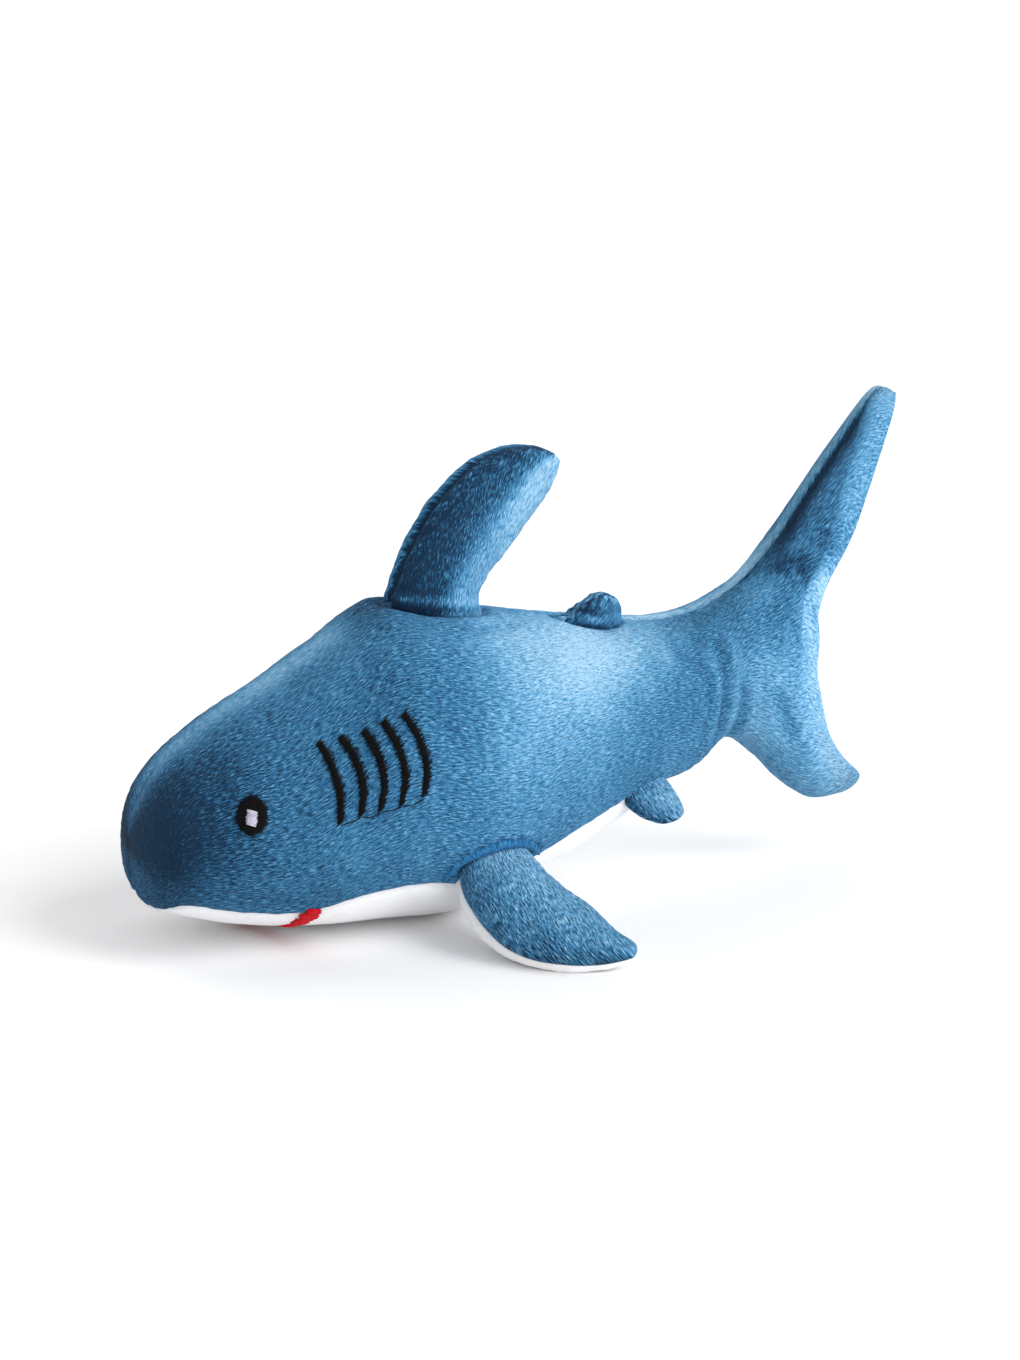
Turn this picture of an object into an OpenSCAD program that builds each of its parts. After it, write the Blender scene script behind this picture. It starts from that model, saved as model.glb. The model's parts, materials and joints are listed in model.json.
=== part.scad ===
// Plush shark, about 250 mm long: sewn fabric panels round separate stuffing pieces.
// Frame: origin under the middle of the toy, nose toward -X, tail toward +X, Z up.

/* [Size] */
// Overall length from the nose to the tip of the tail, mm
body_length = 250; // [150:1:500]

/* [Fabric and stuffing] */
// Thickness of the pile fabric, mm
cloth = 1.4; // [0.8:0.1:3]
// Gap left between two panels along a seam, mm
seam_gap = 0.3; // [0.2:0.05:1]
// Space between the fabric and the stuffing, mm
fill_gap = 1.0; // [0.8:0.1:2]
// Thickness of the sewing thread inside the seams, mm
thread = 0.3; // [0.2:0.05:0.6]

/* [Tail joint] */
// Distance of the vertical tail hinge from the nose, mm
hinge_x = 189; // [180:0.5:195]
// Radius of the rounded front of the tail, mm
hinge_r = 19.5; // [18:0.5:22]
// Clearance between the rounded tail front and the body, mm
hinge_gap = 0.7; // [0.4:0.1:1.5]

/* [Embroidery] */
// Height of the embroidery above the pile, mm
stitch_height = 0.8; // [0.4:0.1:1.5]
// Space under the embroidery, mm
stitch_gap = 0.15; // [0.1:0.05:0.3]

/* [Detail] */
// Steps along the body between two ribs
rib_steps = 2; // [1:1:6]
// Steps round one side of the body
side_steps = 10; // [6:1:24]
// Steps along each fin
fin_steps = 9; // [6:1:24]
// Steps across each fin
fin_cross = 7; // [5:1:16]

/* [Hidden] */
k = body_length / 250;
t_cloth = cloth / k;
t_fill = (cloth + fill_gap) / k;
g2 = seam_gap / 2;
// Each piece of the toy, one node per piece

blue = [0.20, 0.42, 0.64];
white = [0.93, 0.93, 0.95];
red = [0.78, 0.06, 0.14];
black = [0.03, 0.03, 0.04];
lilac = [0.84, 0.82, 0.93];
fibre = [0.96, 0.96, 0.92];

// ---- Ribs of the body and tail, in mm from the nose for a 250 mm toy ----
// top x, top z, bottom x, bottom z, half width, fullness, belly seam, bend x, bend z, droop
ribs = [
  [  0.0,  31.0,   0.0, 25.0,  0.0, 0.90, 1.000,   0,   0, 0.00],
  [  1.8,  42.6,   2.4, 12.9, 18.8, 0.90, 0.930,   0,   0, 0.20],
  [  8.9,  53.5,   9.5,  9.1, 27.2, 0.90, 0.680,   0,   0, 0.40],
  [ 23.3,  63.9,  24.8,  4.6, 32.2, 0.90, 0.660,   0,   0, 0.45],
  [ 41.1,  74.1,  42.6,  1.0, 36.1, 0.90, 0.675,   0,   0, 0.40],
  [ 58.9,  84.6,  60.4, -0.8, 38.6, 0.90, 0.655,   0,   0, 0.35],
  [ 76.7,  94.7,  78.2, -0.8, 39.6, 0.90, 0.670,   0,   0, 0.30],
  [ 95.5,  93.1,  97.0, -0.4, 39.1, 0.90, 0.700,   0,   0, 0.25],
  [113.4,  89.9, 114.4,  5.9, 36.6, 0.90, 0.730,   0,   0, 0.20],
  [131.2,  86.7, 131.2, 12.1, 32.7, 0.90, 0.710,   0,   0, 0.15],
  [149.0,  83.8, 148.0, 19.0, 27.7, 0.90, 0.700,   0,   0, 0.10],
  [165.3,  82.6, 163.9, 26.7, 22.3, 0.88, 0.770,   0,   0, 0.00],
  [180.2,  85.3, 179.2, 35.2, 17.3, 0.85, 0.900,   0,   0, 0.00],
  [193.9,  92.5, 191.1, 41.6, 12.9, 0.80, 1.000,   0,   0, 0.00],
  [206.5, 103.8, 203.0, 33.7, 11.4, 0.70, 1.000,  -1,  -1, 0.00],
  [218.0, 119.0, 211.9, 25.0, 10.4, 0.65, 1.000,  -5,  -4, 0.00],
  [229.3, 135.0, 221.8, 19.4,  8.9, 0.60, 1.000, -11,  -8, 0.00],
  [240.6, 148.3, 233.2, 18.4,  5.9, 0.60, 1.000, -18, -14, 0.00],
  [250.0, 147.5, 243.1, 22.2,  0.0, 0.60, 1.000, -23, -20, 0.00]
];
last_rib = len(ribs) - 1;

// ---- Fins: front edge x y z, rear edge x y z, half thickness. First row is the hinge line ----
dorsal_rows = [
  [ 79.6, 0, 104.0, 110.0, 0,  99.4, 7.8],
  [ 82.0, 0, 108.8, 111.6, 0, 101.4, 8.6],
  [ 87.4, 0, 117.0, 116.0, 0, 106.4, 8.6],
  [ 95.3, 0, 127.1, 122.6, 0, 114.4, 7.8],
  [106.1, 0, 134.8, 130.2, 0, 123.2, 6.4],
  [116.9, 0, 138.4, 135.0, 0, 129.6, 4.8],
  [127.0, 0, 138.7, 136.6, 0, 134.0, 3.2],
  [133.0, 0, 138.2, 135.6, 0, 136.4, 1.8]
];
dorsal_root = 7.8;
dorsal_normal = [0, 1, 0];

second_rows = [
  [136.8, 0,  90.2, 152.4, 0,  88.0, 3.6],
  [138.2, 0,  92.0, 153.6, 0,  89.6, 3.7],
  [141.0, 0,  93.8, 153.4, 0,  91.4, 3.0],
  [145.2, 0,  94.6, 151.0, 0,  93.6, 1.6]
];
second_root = 3.6;
second_normal = [0, 1, 0];

pectoral_rows = [
  [ 88.0, -40.6, 13.6, 117.0, -37.0, 16.4, 6.4],
  [ 88.6, -44.6, 11.6, 117.4, -42.0, 16.0, 7.6],
  [ 89.4, -49.6,  8.8, 118.0, -48.0, 15.2, 7.2],
  [ 92.2, -58.0,  5.2, 120.0, -56.4, 13.2, 6.0],
  [ 97.4, -66.4,  2.8, 122.2, -64.4, 10.9, 4.6],
  [105.6, -73.4,  1.6, 124.6, -71.4,  8.2, 3.3],
  [115.6, -77.6,  1.3, 126.4, -75.8,  5.9, 2.3],
  [121.6, -79.0,  1.5, 126.6, -78.0,  3.8, 1.4]
];
pectoral_root = 5.8;
pectoral_normal = [0, -0.35, 0.94];

pelvic_rows = [
  [150.8, -25.1, 28.6, 166.4, -18.9, 32.4, 3.2],
  [152.6, -27.8, 27.0, 166.6, -22.2, 31.0, 3.4],
  [155.2, -30.2, 25.8, 165.0, -26.4, 28.8, 2.8],
  [157.8, -31.4, 25.4, 162.0, -29.6, 26.8, 1.6]
];
pelvic_root = 3.2;
pelvic_normal = [0.30, -0.70, 0.65];

// ---- Shared shape functions ----
function unit(v) = v / norm(v);
function clamp01(t) = min(max(t, 0), 1);
function mix(a, b, t) = a + (b - a) * t;

function spline(p0, p1, p2, p3, f) =
  0.5 * (2 * p1 + (p2 - p0) * f + (2 * p0 - 5 * p1 + 4 * p2 - p3) * f * f
         + (3 * p1 - p0 - 3 * p2 + p3) * f * f * f);

// A row of a table at position u, with the rows before the first and after the last given.
function row_at(rows, u, before, after) =
  let (
    n = len(rows),
    i = min(floor(max(u, 0)), n - 2),
    f = u - i,
    p0 = i > 0 ? rows[i - 1] : before,
    p3 = i + 2 < n ? rows[i + 2] : after
  )
  spline(p0, rows[i], rows[i + 1], p3, f);

r1 = ribs[1];
rib_before = [
  r1[2], r1[3], r1[0], r1[1], -r1[4], r1[5], r1[6], 0, 0, 0
];
r2 = ribs[last_rib - 1];
rib_after = [
  r2[0], r2[1], r2[2], r2[3], -r2[4], r2[5], 1, r2[7], r2[8], 0
];
function rib(u) = row_at(ribs, u, rib_before, rib_after);

// A point of the body at rib position u, fraction v from back (0) to belly (1), on one side,
// set in by d from the outside. Thin edges keep at least the half thickness "least".
function body_point(u, v, side, d, least) =
  let (
    r = rib(u),
    top = [r[0], 0, r[1]],
    low = [r[2], 0, r[3]],
    mid = (top + low) / 2,
    half = (top - low) / 2,
    h = norm(half),
    arm = half * max(h - d, 0.4) / h,
    f0 = (1 - cos(180 * v)) / 2,
    f = f0 + r[9] * f0 * (1 - f0),
    bend = sin(180 * pow(clamp01(f), 1.15)),
    w = max(r[4] - d, 0),
    y = least + max(w - least, 0) * pow(max(sin(180 * v), 0), r[5]),
    nose = d * max(0, 1 - u / 2),
    tail = d * max(0, (u - 16.5) / 1.5),
    spine = mid + arm * (1 - 2 * f)
  )
  [
    spine[0] + r[7] * bend + nose - tail,
    side * y,
    max(spine[2] + r[8] * bend, d)
  ];

// Fraction v of the belly seam at rib position u.
function seam(u) = min(rib(u)[6], 1);

// Rib position where the surface reaches the upright cylinder round the tail hinge.
function cut_u(v, d, radius, least, u = 12.2, tries = 7) =
  tries == 0 ? u :
  let (
    p = body_point(u, v, 1, d, least),
    goal = hinge_x / k - sqrt(max(radius * radius - p[1] * p[1], 0)),
    slope = 14
  )
  cut_u(v, d, radius, least, u + (goal - p[0]) / slope, tries - 1);

function cut_x(y, radius) = hinge_x / k - sqrt(max(radius * radius - y * y, 0));

// From nose-based millimetres to the part's own frame.
function place(p) = [p[0] * k - body_length / 2, p[1] * k, p[2] * k];
function placed(rows) = [for (row = rows) [for (p = row) place(p)]];

// ---- Shared solids ----
// Triangles of one grid of m by n quads, starting at point "first".
function grid_faces(m, n, first, flip) = [
  for (i = [0 : m - 1])
    for (j = [0 : n - 1])
      let (
        a = first + i * (n + 1) + j,
        b = a + 1,
        c = a + n + 2,
        d = a + n + 1
      )
      each flip ? [[a, b, c], [a, c, d]] : [[a, c, b], [a, d, c]]
];

// A closed solid between two grids of the same size, joined round their edges.
module skin_solid(outer, inner, flip = false) {
  m = len(outer) - 1;
  n = len(outer[0]) - 1;
  w = n + 1;
  total = (m + 1) * w;
  rim = concat(
    [for (j = [0 : n]) j],
    [for (i = [1 : m]) i * w + n],
    [for (j = [1 : n]) m * w + n - j],
    [for (i = [1 : m - 1]) (m - i) * w]
  );
  count = len(rim);
  walls = [
    for (i = [0 : count - 1])
      let (
        a = rim[i],
        b = rim[(i + 1) % count],
        c = b + total,
        d = a + total
      )
      each flip ? [[a, c, b], [a, d, c]] : [[a, b, c], [a, c, d]]
  ];
  points = concat([for (row = outer) each row], [for (row = inner) each row]);
  faces = concat(
    grid_faces(m, n, 0, flip),
    grid_faces(m, n, total, !flip),
    walls
  );
  polyhedron(points, faces, convexity = 6);
}

// A thread: a square-section solid along a list of points.
module thread_solid(path, size) {
  n = len(path);
  s = size / 2;
  around = [[-1, -1], [1, -1], [1, 1], [-1, 1]];
  points = [
    for (i = [0 : n - 1])
      let (
        along = unit(path[min(i + 1, n - 1)] - path[max(i - 1, 0)]),
        across = unit(cross(along, [0.02, 1, 0.01])),
        other = cross(along, across)
      )
      for (q = around) path[i] + s * (q[0] * across + q[1] * other)
  ];
  sides = [
    for (i = [0 : n - 2])
      for (j = [0 : 3])
        let (a = i * 4 + j, b = i * 4 + (j + 1) % 4)
        each [[a, b + 4, b], [a, a + 4, b + 4]]
  ];
  e = (n - 1) * 4;
  polyhedron(points, concat(sides, [[0, 1, 2], [0, 2, 3], [e, e + 2, e + 1], [e, e + 3, e + 2]]));
}

module mirrored(side) {
  if (side < 0) children();
  else mirror([0, 1, 0]) children();
}

// ---- Body panels ----
body_start = [0, 0.12, 0.35, 0.65];
function body_u(end, i, count) = i < 4 ? body_start[i] : mix(1, end, (i - 4) / (count - 4));

body_count = 4 + 12 * rib_steps;
body_cut_r = (hinge_r + hinge_gap) / k;

// Rib position of row i of the body at v; the last row lies on the cylinder of the tail joint.
function row_u(i, v, d, least) =
  i < 4 ? body_start[i] : body_u(cut_u(v, d, body_cut_r, least), i, body_count);

// Where row i meets the belly seam: the same line for the side panels and the belly panel.
function edge_v(i, v = 0.78, tries = 5) =
  i < 4 ? seam(body_start[i]) :
  tries == 0 ? v : edge_v(i, seam(row_u(i, v, 0, g2)), tries - 1);

function side_grid(side, d) = [
  for (i = [0 : body_count])
    let (e = edge_v(i), last = e < 0.999 ? e - 0.005 : e)
    [
      for (j = [0 : side_steps])
        let (v = last * j / side_steps)
        body_point(row_u(i, v, d, g2), v, side, d, g2)
    ]
];

module side_panel(side) {
  skin_solid(placed(side_grid(side, 0)), placed(side_grid(side, t_cloth)), side > 0);
}

module left_side_panel() {
  color(blue) side_panel(-1);
}

module right_side_panel() {
  color(blue) side_panel(1);
}

belly_half = 5;
belly_u0 = 0.85;

function belly_grid(d) = [
  for (i = [3 : body_count])
    let (v0 = min(i == 3 ? 0.98 : edge_v(i) + 0.007, 0.985))
    [
      for (j = [-belly_half : belly_half])
        let (
          side = j < 0 ? -1 : 1,
          v = 1 - (1 - v0) * abs(j) / belly_half
        )
        body_point(i == 3 ? belly_u0 : row_u(i, v, d, g2), v, side, d, 0)
    ]
];

module belly_panel() {
  color(white) skin_solid(placed(belly_grid(0)), placed(belly_grid(t_cloth)));
}

// Body stuffing: two half surfaces that meet on the middle plane, closed by the hollow rear end.
cap_steps = 5;
fill_edge = 0.6;
function fill_grid(side, d, radius) = concat(
  [
    for (i = [0 : body_count])
      [
        for (j = [0 : side_steps + 2])
          let (v = j / (side_steps + 2))
          body_point(row_u(i, v, d, fill_edge), v, side, d, fill_edge)
      ]
  ],
  [
    for (i = [1 : cap_steps])
      [
        for (j = [0 : side_steps + 2])
          let (
            v = j / (side_steps + 2),
            p = body_point(cut_u(v, d, radius, fill_edge), v, 1, d, fill_edge),
            y = mix(p[1], 0.1, i / cap_steps)
          )
          [cut_x(y, radius), side * y, p[2]]
      ]
  ]
);

module body_stuffing() {
  color(fibre) skin_solid(
    placed(fill_grid(-1, t_fill, body_cut_r)),
    placed(fill_grid(1, t_fill, body_cut_r))
  );
}

// ---- Embroidery on the face: pads that follow the body surface ----
// Points a, b run over a square; the pad is the disc stretched along two surface directions.
function disc(a, b) = [a * sqrt(1 - b * b / 2), b * sqrt(1 - a * a / 2)];

function pad_grid(side, at, along, down, lift, dome, n) = [
  for (i = [0 : n])
    [
      for (j = [0 : n])
        let (
          q = disc(2 * i / n - 1, 2 * j / n - 1),
          u = at[0] + q[0] * along[0] + q[1] * down[0],
          v = at[1] + q[0] * along[1] + q[1] * down[1],
          rise = lift + dome * (1 - q * q)
        )
        body_point(u, v, side, -rise / k, 0)
    ]
];

module pad(side, at, along, down, low, high, dome, n) {
  skin_solid(
    placed(pad_grid(side, at, along, down, high, dome, n)),
    placed(pad_grid(side, at, along, down, low, 0, n)),
    side > 0
  );
}

eye_at = [3.28, 0.350];
eye_top = stitch_gap + stitch_height;

module eye_patch(side) {
  color(black) pad(side, eye_at, [0.215, 0.014], [-0.055, 0.048], stitch_gap, eye_top * 0.75, 0.2, 8);
}

module eye_highlight(side) {
  low = eye_top * 0.75 + 0.3;
  color(lilac) pad(side, [3.24, 0.357], [0.085, 0.006], [-0.025, 0.019], low, low + 0.4, 0.15, 6);
}

module left_eye_patch() {
  eye_patch(-1);
}

module right_eye_patch() {
  eye_patch(1);
}

module left_eye_highlight() {
  eye_highlight(-1);
}

module right_eye_highlight() {
  eye_highlight(1);
}

// Five gill bars on each side. Each bar runs through four surface positions.
gill_paths = [
  [[4.45, 0.254], [4.56, 0.317], [4.62, 0.378], [4.60, 0.438]],
  [[4.78, 0.267], [4.93, 0.324], [5.00, 0.385], [4.93, 0.438]],
  [[5.15, 0.281], [5.30, 0.340], [5.35, 0.398], [5.26, 0.446]],
  [[5.48, 0.288], [5.65, 0.346], [5.72, 0.404], [5.62, 0.456]],
  [[5.82, 0.296], [6.01, 0.354], [6.08, 0.406], [6.00, 0.458]]
];
gill_half = 0.068;
gill_steps = 8;

function path_at(path, t) =
  row_at(path, t * 3, 2 * path[0] - path[1], 2 * path[3] - path[2]);

function gill_grid(side, path, lift, dome) = [
  for (i = [0 : gill_steps])
    [
      for (j = [-1 : 1])
        let (
          t = i / gill_steps,
          c = path_at(path, t),
          end = min(1, 0.45 + 4 * min(t, 1 - t)),
          u = c[0] + j * gill_half * end,
          v = c[1] + j * 0.004
        )
        body_point(u, v, side, -(lift + dome * (1 - abs(j))) / k, 0)
    ]
];

module gill_stitches(side) {
  color(black) for (path = gill_paths) skin_solid(
    placed(gill_grid(side, path, stitch_gap + 0.4, 0.5)),
    placed(gill_grid(side, path, stitch_gap, 0)),
    side < 0
  );
}

module left_gill_stitches() {
  gill_stitches(-1);
}

module right_gill_stitches() {
  gill_stitches(1);
}

// The thread the embroidery machine carried from one bar to the next.
module gill_thread(side) {
  color(black) for (g = [0 : 3]) thread_solid(
    [
      for (i = [0 : 4])
        let (
          a = gill_paths[g][3] + [gill_half * 0.75, 0.012],
          b = gill_paths[g + 1][3] - [gill_half * 0.75, -0.012],
          q = mix(a, b, i / 4)
        )
        place(body_point(q[0], q[1], side, -0.55 / k, 0))
    ],
    thread
  );
}

module left_gill_thread() {
  gill_thread(-1);
}

module right_gill_thread() {
  gill_thread(1);
}

// Mouth: a red crescent stitched under the chin from corner to corner.
mouth_half = 0.32;
mouth_steps = 16;

function mouth_centre(t) =
  let (a = abs(t), side = t < 0 ? -1 : 1)
  [3.32 + 0.80 * pow(a, 1.35), 1 - 0.335 * pow(a, 0.9), side];

function mouth_grid(lift) = [
  for (i = [-mouth_steps : mouth_steps])
    [
      for (j = [-1 : 1])
        let (
          t = i / mouth_steps,
          c = mouth_centre(t),
          wide = mouth_half * pow(max(1 - t * t, 0), 0.6) + 0.02,
          u = c[0] + j * wide * (1 - 0.45 * abs(t)),
          v = min(c[1] + j * wide * 0.10 * abs(t), 1)
        )
        body_point(u, v, c[2], -(lift + 0.2 * (1 - abs(j))) / k, 0)
    ]
];

module mouth_patch() {
  color(red) skin_solid(placed(mouth_grid(stitch_gap + 0.45)), placed(mouth_grid(stitch_gap)), true);
}

// ---- Seam threads, just inside the cloth along each seam ----
thread_depth = (cloth + fill_gap / 2) / k;

module dorsal_seam_thread() {
  color(blue) thread_solid(
    [for (i = [4 : body_count - 1]) place(body_point(row_u(i, 0, thread_depth, 0), 0, 1, thread_depth, 0))],
    thread
  );
}

module belly_seam_thread(side) {
  color(white) thread_solid(
    [
      for (i = [6 : body_count - 2])
        let (v = edge_v(i))
        place(body_point(row_u(i, v, thread_depth, 0), v, side, thread_depth, 0))
    ],
    thread
  );
}

module left_belly_seam_thread() {
  belly_seam_thread(-1);
}

module right_belly_seam_thread() {
  belly_seam_thread(1);
}

// ---- Tail ----
tail_count = 6 * rib_steps + 1;

function tail_grid(side, d, radius, least, end = last_rib) = [
  for (i = [0 : tail_count])
    [
      for (j = [0 : side_steps])
        let (
          v = j / side_steps,
          u = mix(cut_u(v, d, radius, least), end, i / tail_count)
        )
        body_point(u, v, side, d, least)
    ]
];

module tail_panel(side) {
  radius = hinge_r / k;
  color(blue) skin_solid(
    placed(tail_grid(side, 0, radius, g2)),
    placed(tail_grid(side, t_cloth, radius, g2)),
    side > 0
  );
}

module left_tail_panel() {
  tail_panel(-1);
}

module right_tail_panel() {
  tail_panel(1);
}

fill_end = 16.9;

function tail_fill_grid(side, d, radius) = concat(
  [
    for (i = [0 : cap_steps - 1])
      [
        for (j = [0 : side_steps])
          let (
            v = j / side_steps,
            p = body_point(cut_u(v, d, radius, fill_edge), v, 1, d, fill_edge),
            y = mix(0.1, p[1], i / cap_steps)
          )
          [cut_x(y, radius), side * y, p[2]]
      ]
  ],
  tail_grid(side, d, radius, fill_edge, fill_end)
);

module tail_stuffing() {
  radius = hinge_r / k;
  color(fibre) skin_solid(
    placed(tail_fill_grid(-1, t_fill, radius)),
    placed(tail_fill_grid(1, t_fill, radius))
  );
}

// Thread along the back of the tail, down the rear edge and back along the underside.
module tail_seam_thread() {
  top = [for (i = [0 : 16]) body_point(mix(12.9, 17.5, i / 16), 0, 1, thread_depth, 0)];
  rear = [for (j = [0 : 20]) body_point(17.6, j / 20, 1, thread_depth, 0)];
  low = [for (i = [0 : 16]) body_point(mix(17.5, 13.2, i / 16), 1, 1, thread_depth, 0)];
  color(blue) thread_solid([for (p = concat(top, rear, low)) place([p[0], 0, p[2]])], thread);
}

// ---- Fins ----
function fin_edge(rows, s) =
  let (n = len(rows))
  row_at(rows, s, 2 * rows[0] - rows[1], 2 * rows[n - 1] - rows[n - 2]);

// One face of a fin: s runs from the rounded root (negative) to the tip.
function fin_grid(rows, root, normal, side, d, least) =
  let (
    n = len(rows) - 1,
    a0 = [rows[0][0], rows[0][1], rows[0][2]],
    b0 = [rows[0][3], rows[0][4], rows[0][5]],
    a1 = [rows[1][0], rows[1][1], rows[1][2]],
    b1 = [rows[1][3], rows[1][4], rows[1][5]],
    chord0 = unit(b0 - a0),
    up = unit(normal - chord0 * (chord0 * normal)),
    out = unit(cross(chord0, up) * (cross(chord0, up) * (a1 + b1 - a0 - b0) > 0 ? 1 : -1)),
    base = [
      for (q = [0 : 3])
        let (
          angle = 90 * (1 - q / 4),
          back = out * (root - d) * sin(angle),
          thick = (root - d) * cos(angle)
        )
        [a0 - back, b0 - back, thick]
    ],
    blade = [
      for (i = [0 : fin_steps])
        let (
          s = mix(0, n, i / fin_steps),
          r = fin_edge(rows, s),
          shut = i == fin_steps ? 0 : 1,
          pull = d * pow(i / fin_steps, 6)
        )
        [
          [r[0], r[1], r[2]] - out * pull,
          [r[3], r[4], r[5]] - out * pull,
          max(r[6] - d, 0.15) * shut
        ]
    ]
  )
  [
    for (st = concat(base, blade))
      [
        for (j = [0 : fin_cross])
          let (
            chord = unit(st[1] - st[0]),
            inset = min(d, norm(st[1] - st[0]) * 0.3),
            a = st[0] + chord * inset,
            b = st[1] - chord * inset,
            t = j / fin_cross,
            f = (1 - cos(180 * t)) / 2
          )
          mix(a, b, f) + up * side * (least + st[2] * pow(max(sin(180 * t), 0), 0.65))
      ]
  ];

module fin_panel(rows, root, normal, side) {
  skin_solid(
    placed(fin_grid(rows, root, normal, side, 0, g2)),
    placed(fin_grid(rows, root, normal, side, t_cloth, g2)),
    side > 0
  );
}

module fin_fill(rows, root, normal) {
  skin_solid(
    placed(fin_grid(rows, root, normal, 1, t_fill, 0.1)),
    placed(fin_grid(rows, root, normal, -1, t_fill, 0.1)),
    true
  );
}

module dorsal_fin_left_panel() {
  color(blue) fin_panel(dorsal_rows, dorsal_root, dorsal_normal, -1);
}

module dorsal_fin_right_panel() {
  color(blue) fin_panel(dorsal_rows, dorsal_root, dorsal_normal, 1);
}

module dorsal_fin_stuffing() {
  color(fibre) fin_fill(dorsal_rows, dorsal_root, dorsal_normal);
}

module second_dorsal_left_panel() {
  color(blue) fin_panel(second_rows, second_root, second_normal, -1);
}

module second_dorsal_right_panel() {
  color(blue) fin_panel(second_rows, second_root, second_normal, 1);
}

module second_dorsal_stuffing() {
  color(fibre) fin_fill(second_rows, second_root, second_normal);
}

module left_pectoral_upper_panel() {
  color(blue) fin_panel(pectoral_rows, pectoral_root, pectoral_normal, 1);
}

module left_pectoral_lower_panel() {
  color(white) fin_panel(pectoral_rows, pectoral_root, pectoral_normal, -1);
}

module left_pectoral_stuffing() {
  color(fibre) fin_fill(pectoral_rows, pectoral_root, pectoral_normal);
}

module right_pectoral_upper_panel() {
  mirrored(1) left_pectoral_upper_panel();
}

module right_pectoral_lower_panel() {
  mirrored(1) left_pectoral_lower_panel();
}

module right_pectoral_stuffing() {
  mirrored(1) left_pectoral_stuffing();
}

module left_pelvic_outer_panel() {
  color(blue) fin_panel(pelvic_rows, pelvic_root, pelvic_normal, 1);
}

module left_pelvic_inner_panel() {
  color(blue) fin_panel(pelvic_rows, pelvic_root, pelvic_normal, -1);
}

module left_pelvic_stuffing() {
  color(fibre) fin_fill(pelvic_rows, pelvic_root, pelvic_normal);
}

module right_pelvic_outer_panel() {
  mirrored(1) left_pelvic_outer_panel();
}

module right_pelvic_inner_panel() {
  mirrored(1) left_pelvic_inner_panel();
}

module right_pelvic_stuffing() {
  mirrored(1) left_pelvic_stuffing();
}

left_side_panel();
right_side_panel();
belly_panel();
body_stuffing();
left_eye_patch();
right_eye_patch();
left_eye_highlight();
right_eye_highlight();
left_gill_stitches();
right_gill_stitches();
left_gill_thread();
right_gill_thread();
mouth_patch();
dorsal_seam_thread();
left_belly_seam_thread();
right_belly_seam_thread();
left_tail_panel();
right_tail_panel();
tail_stuffing();
tail_seam_thread();
dorsal_fin_left_panel();
dorsal_fin_right_panel();
dorsal_fin_stuffing();
second_dorsal_left_panel();
second_dorsal_right_panel();
second_dorsal_stuffing();
left_pectoral_upper_panel();
left_pectoral_lower_panel();
left_pectoral_stuffing();
right_pectoral_upper_panel();
right_pectoral_lower_panel();
right_pectoral_stuffing();
left_pelvic_outer_panel();
left_pelvic_inner_panel();
left_pelvic_stuffing();
right_pelvic_outer_panel();
right_pelvic_inner_panel();
right_pelvic_stuffing();
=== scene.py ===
"""Plush shark: soft sewn skins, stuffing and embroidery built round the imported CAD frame."""

import json
import math

import bpy
import numpy as np
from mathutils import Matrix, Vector


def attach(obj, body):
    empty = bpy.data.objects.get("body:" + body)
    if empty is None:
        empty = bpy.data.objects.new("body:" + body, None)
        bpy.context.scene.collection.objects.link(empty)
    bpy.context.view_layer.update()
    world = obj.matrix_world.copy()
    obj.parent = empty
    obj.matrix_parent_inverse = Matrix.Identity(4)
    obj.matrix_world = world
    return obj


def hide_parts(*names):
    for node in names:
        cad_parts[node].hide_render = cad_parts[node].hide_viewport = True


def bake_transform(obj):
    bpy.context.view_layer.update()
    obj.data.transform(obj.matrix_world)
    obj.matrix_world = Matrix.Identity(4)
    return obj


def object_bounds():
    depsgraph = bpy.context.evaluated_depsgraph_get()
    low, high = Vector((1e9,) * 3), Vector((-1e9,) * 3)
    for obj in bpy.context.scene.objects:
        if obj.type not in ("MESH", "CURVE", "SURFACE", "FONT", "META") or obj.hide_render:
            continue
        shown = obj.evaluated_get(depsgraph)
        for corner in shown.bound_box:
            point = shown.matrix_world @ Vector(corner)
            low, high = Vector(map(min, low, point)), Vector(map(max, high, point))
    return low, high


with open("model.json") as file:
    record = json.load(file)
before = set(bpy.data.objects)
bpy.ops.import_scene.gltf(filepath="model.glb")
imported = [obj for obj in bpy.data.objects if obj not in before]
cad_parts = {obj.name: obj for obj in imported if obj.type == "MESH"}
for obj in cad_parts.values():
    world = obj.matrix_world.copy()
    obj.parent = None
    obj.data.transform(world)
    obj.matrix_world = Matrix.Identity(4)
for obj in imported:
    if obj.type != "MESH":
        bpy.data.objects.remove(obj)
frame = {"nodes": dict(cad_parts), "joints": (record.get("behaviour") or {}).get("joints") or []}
cad_lo, cad_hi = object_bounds()

# Shapes are given in millimetres from the nose of a 250 mm toy, and scaled to the imported model.
LENGTH = cad_hi.x - cad_lo.x
SCALE = LENGTH / 0.250
NOSE_X = cad_lo.x
METRES = 0.001          # of a millimetre
SEAM_GAP = 0.08         # from each skin's edge to the middle of its seam, mm
CLOTH = 1.0             # thickness of the body's cloth, mm
SATIN = 0.42            # width of one satin stitch, mm
SATIN_RISE = 0.34       # height of its arch, mm
BAR_STITCHES = 40       # in each gill bar
MOUTH_STITCHES = 95     # from the middle of the mouth to each end

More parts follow.
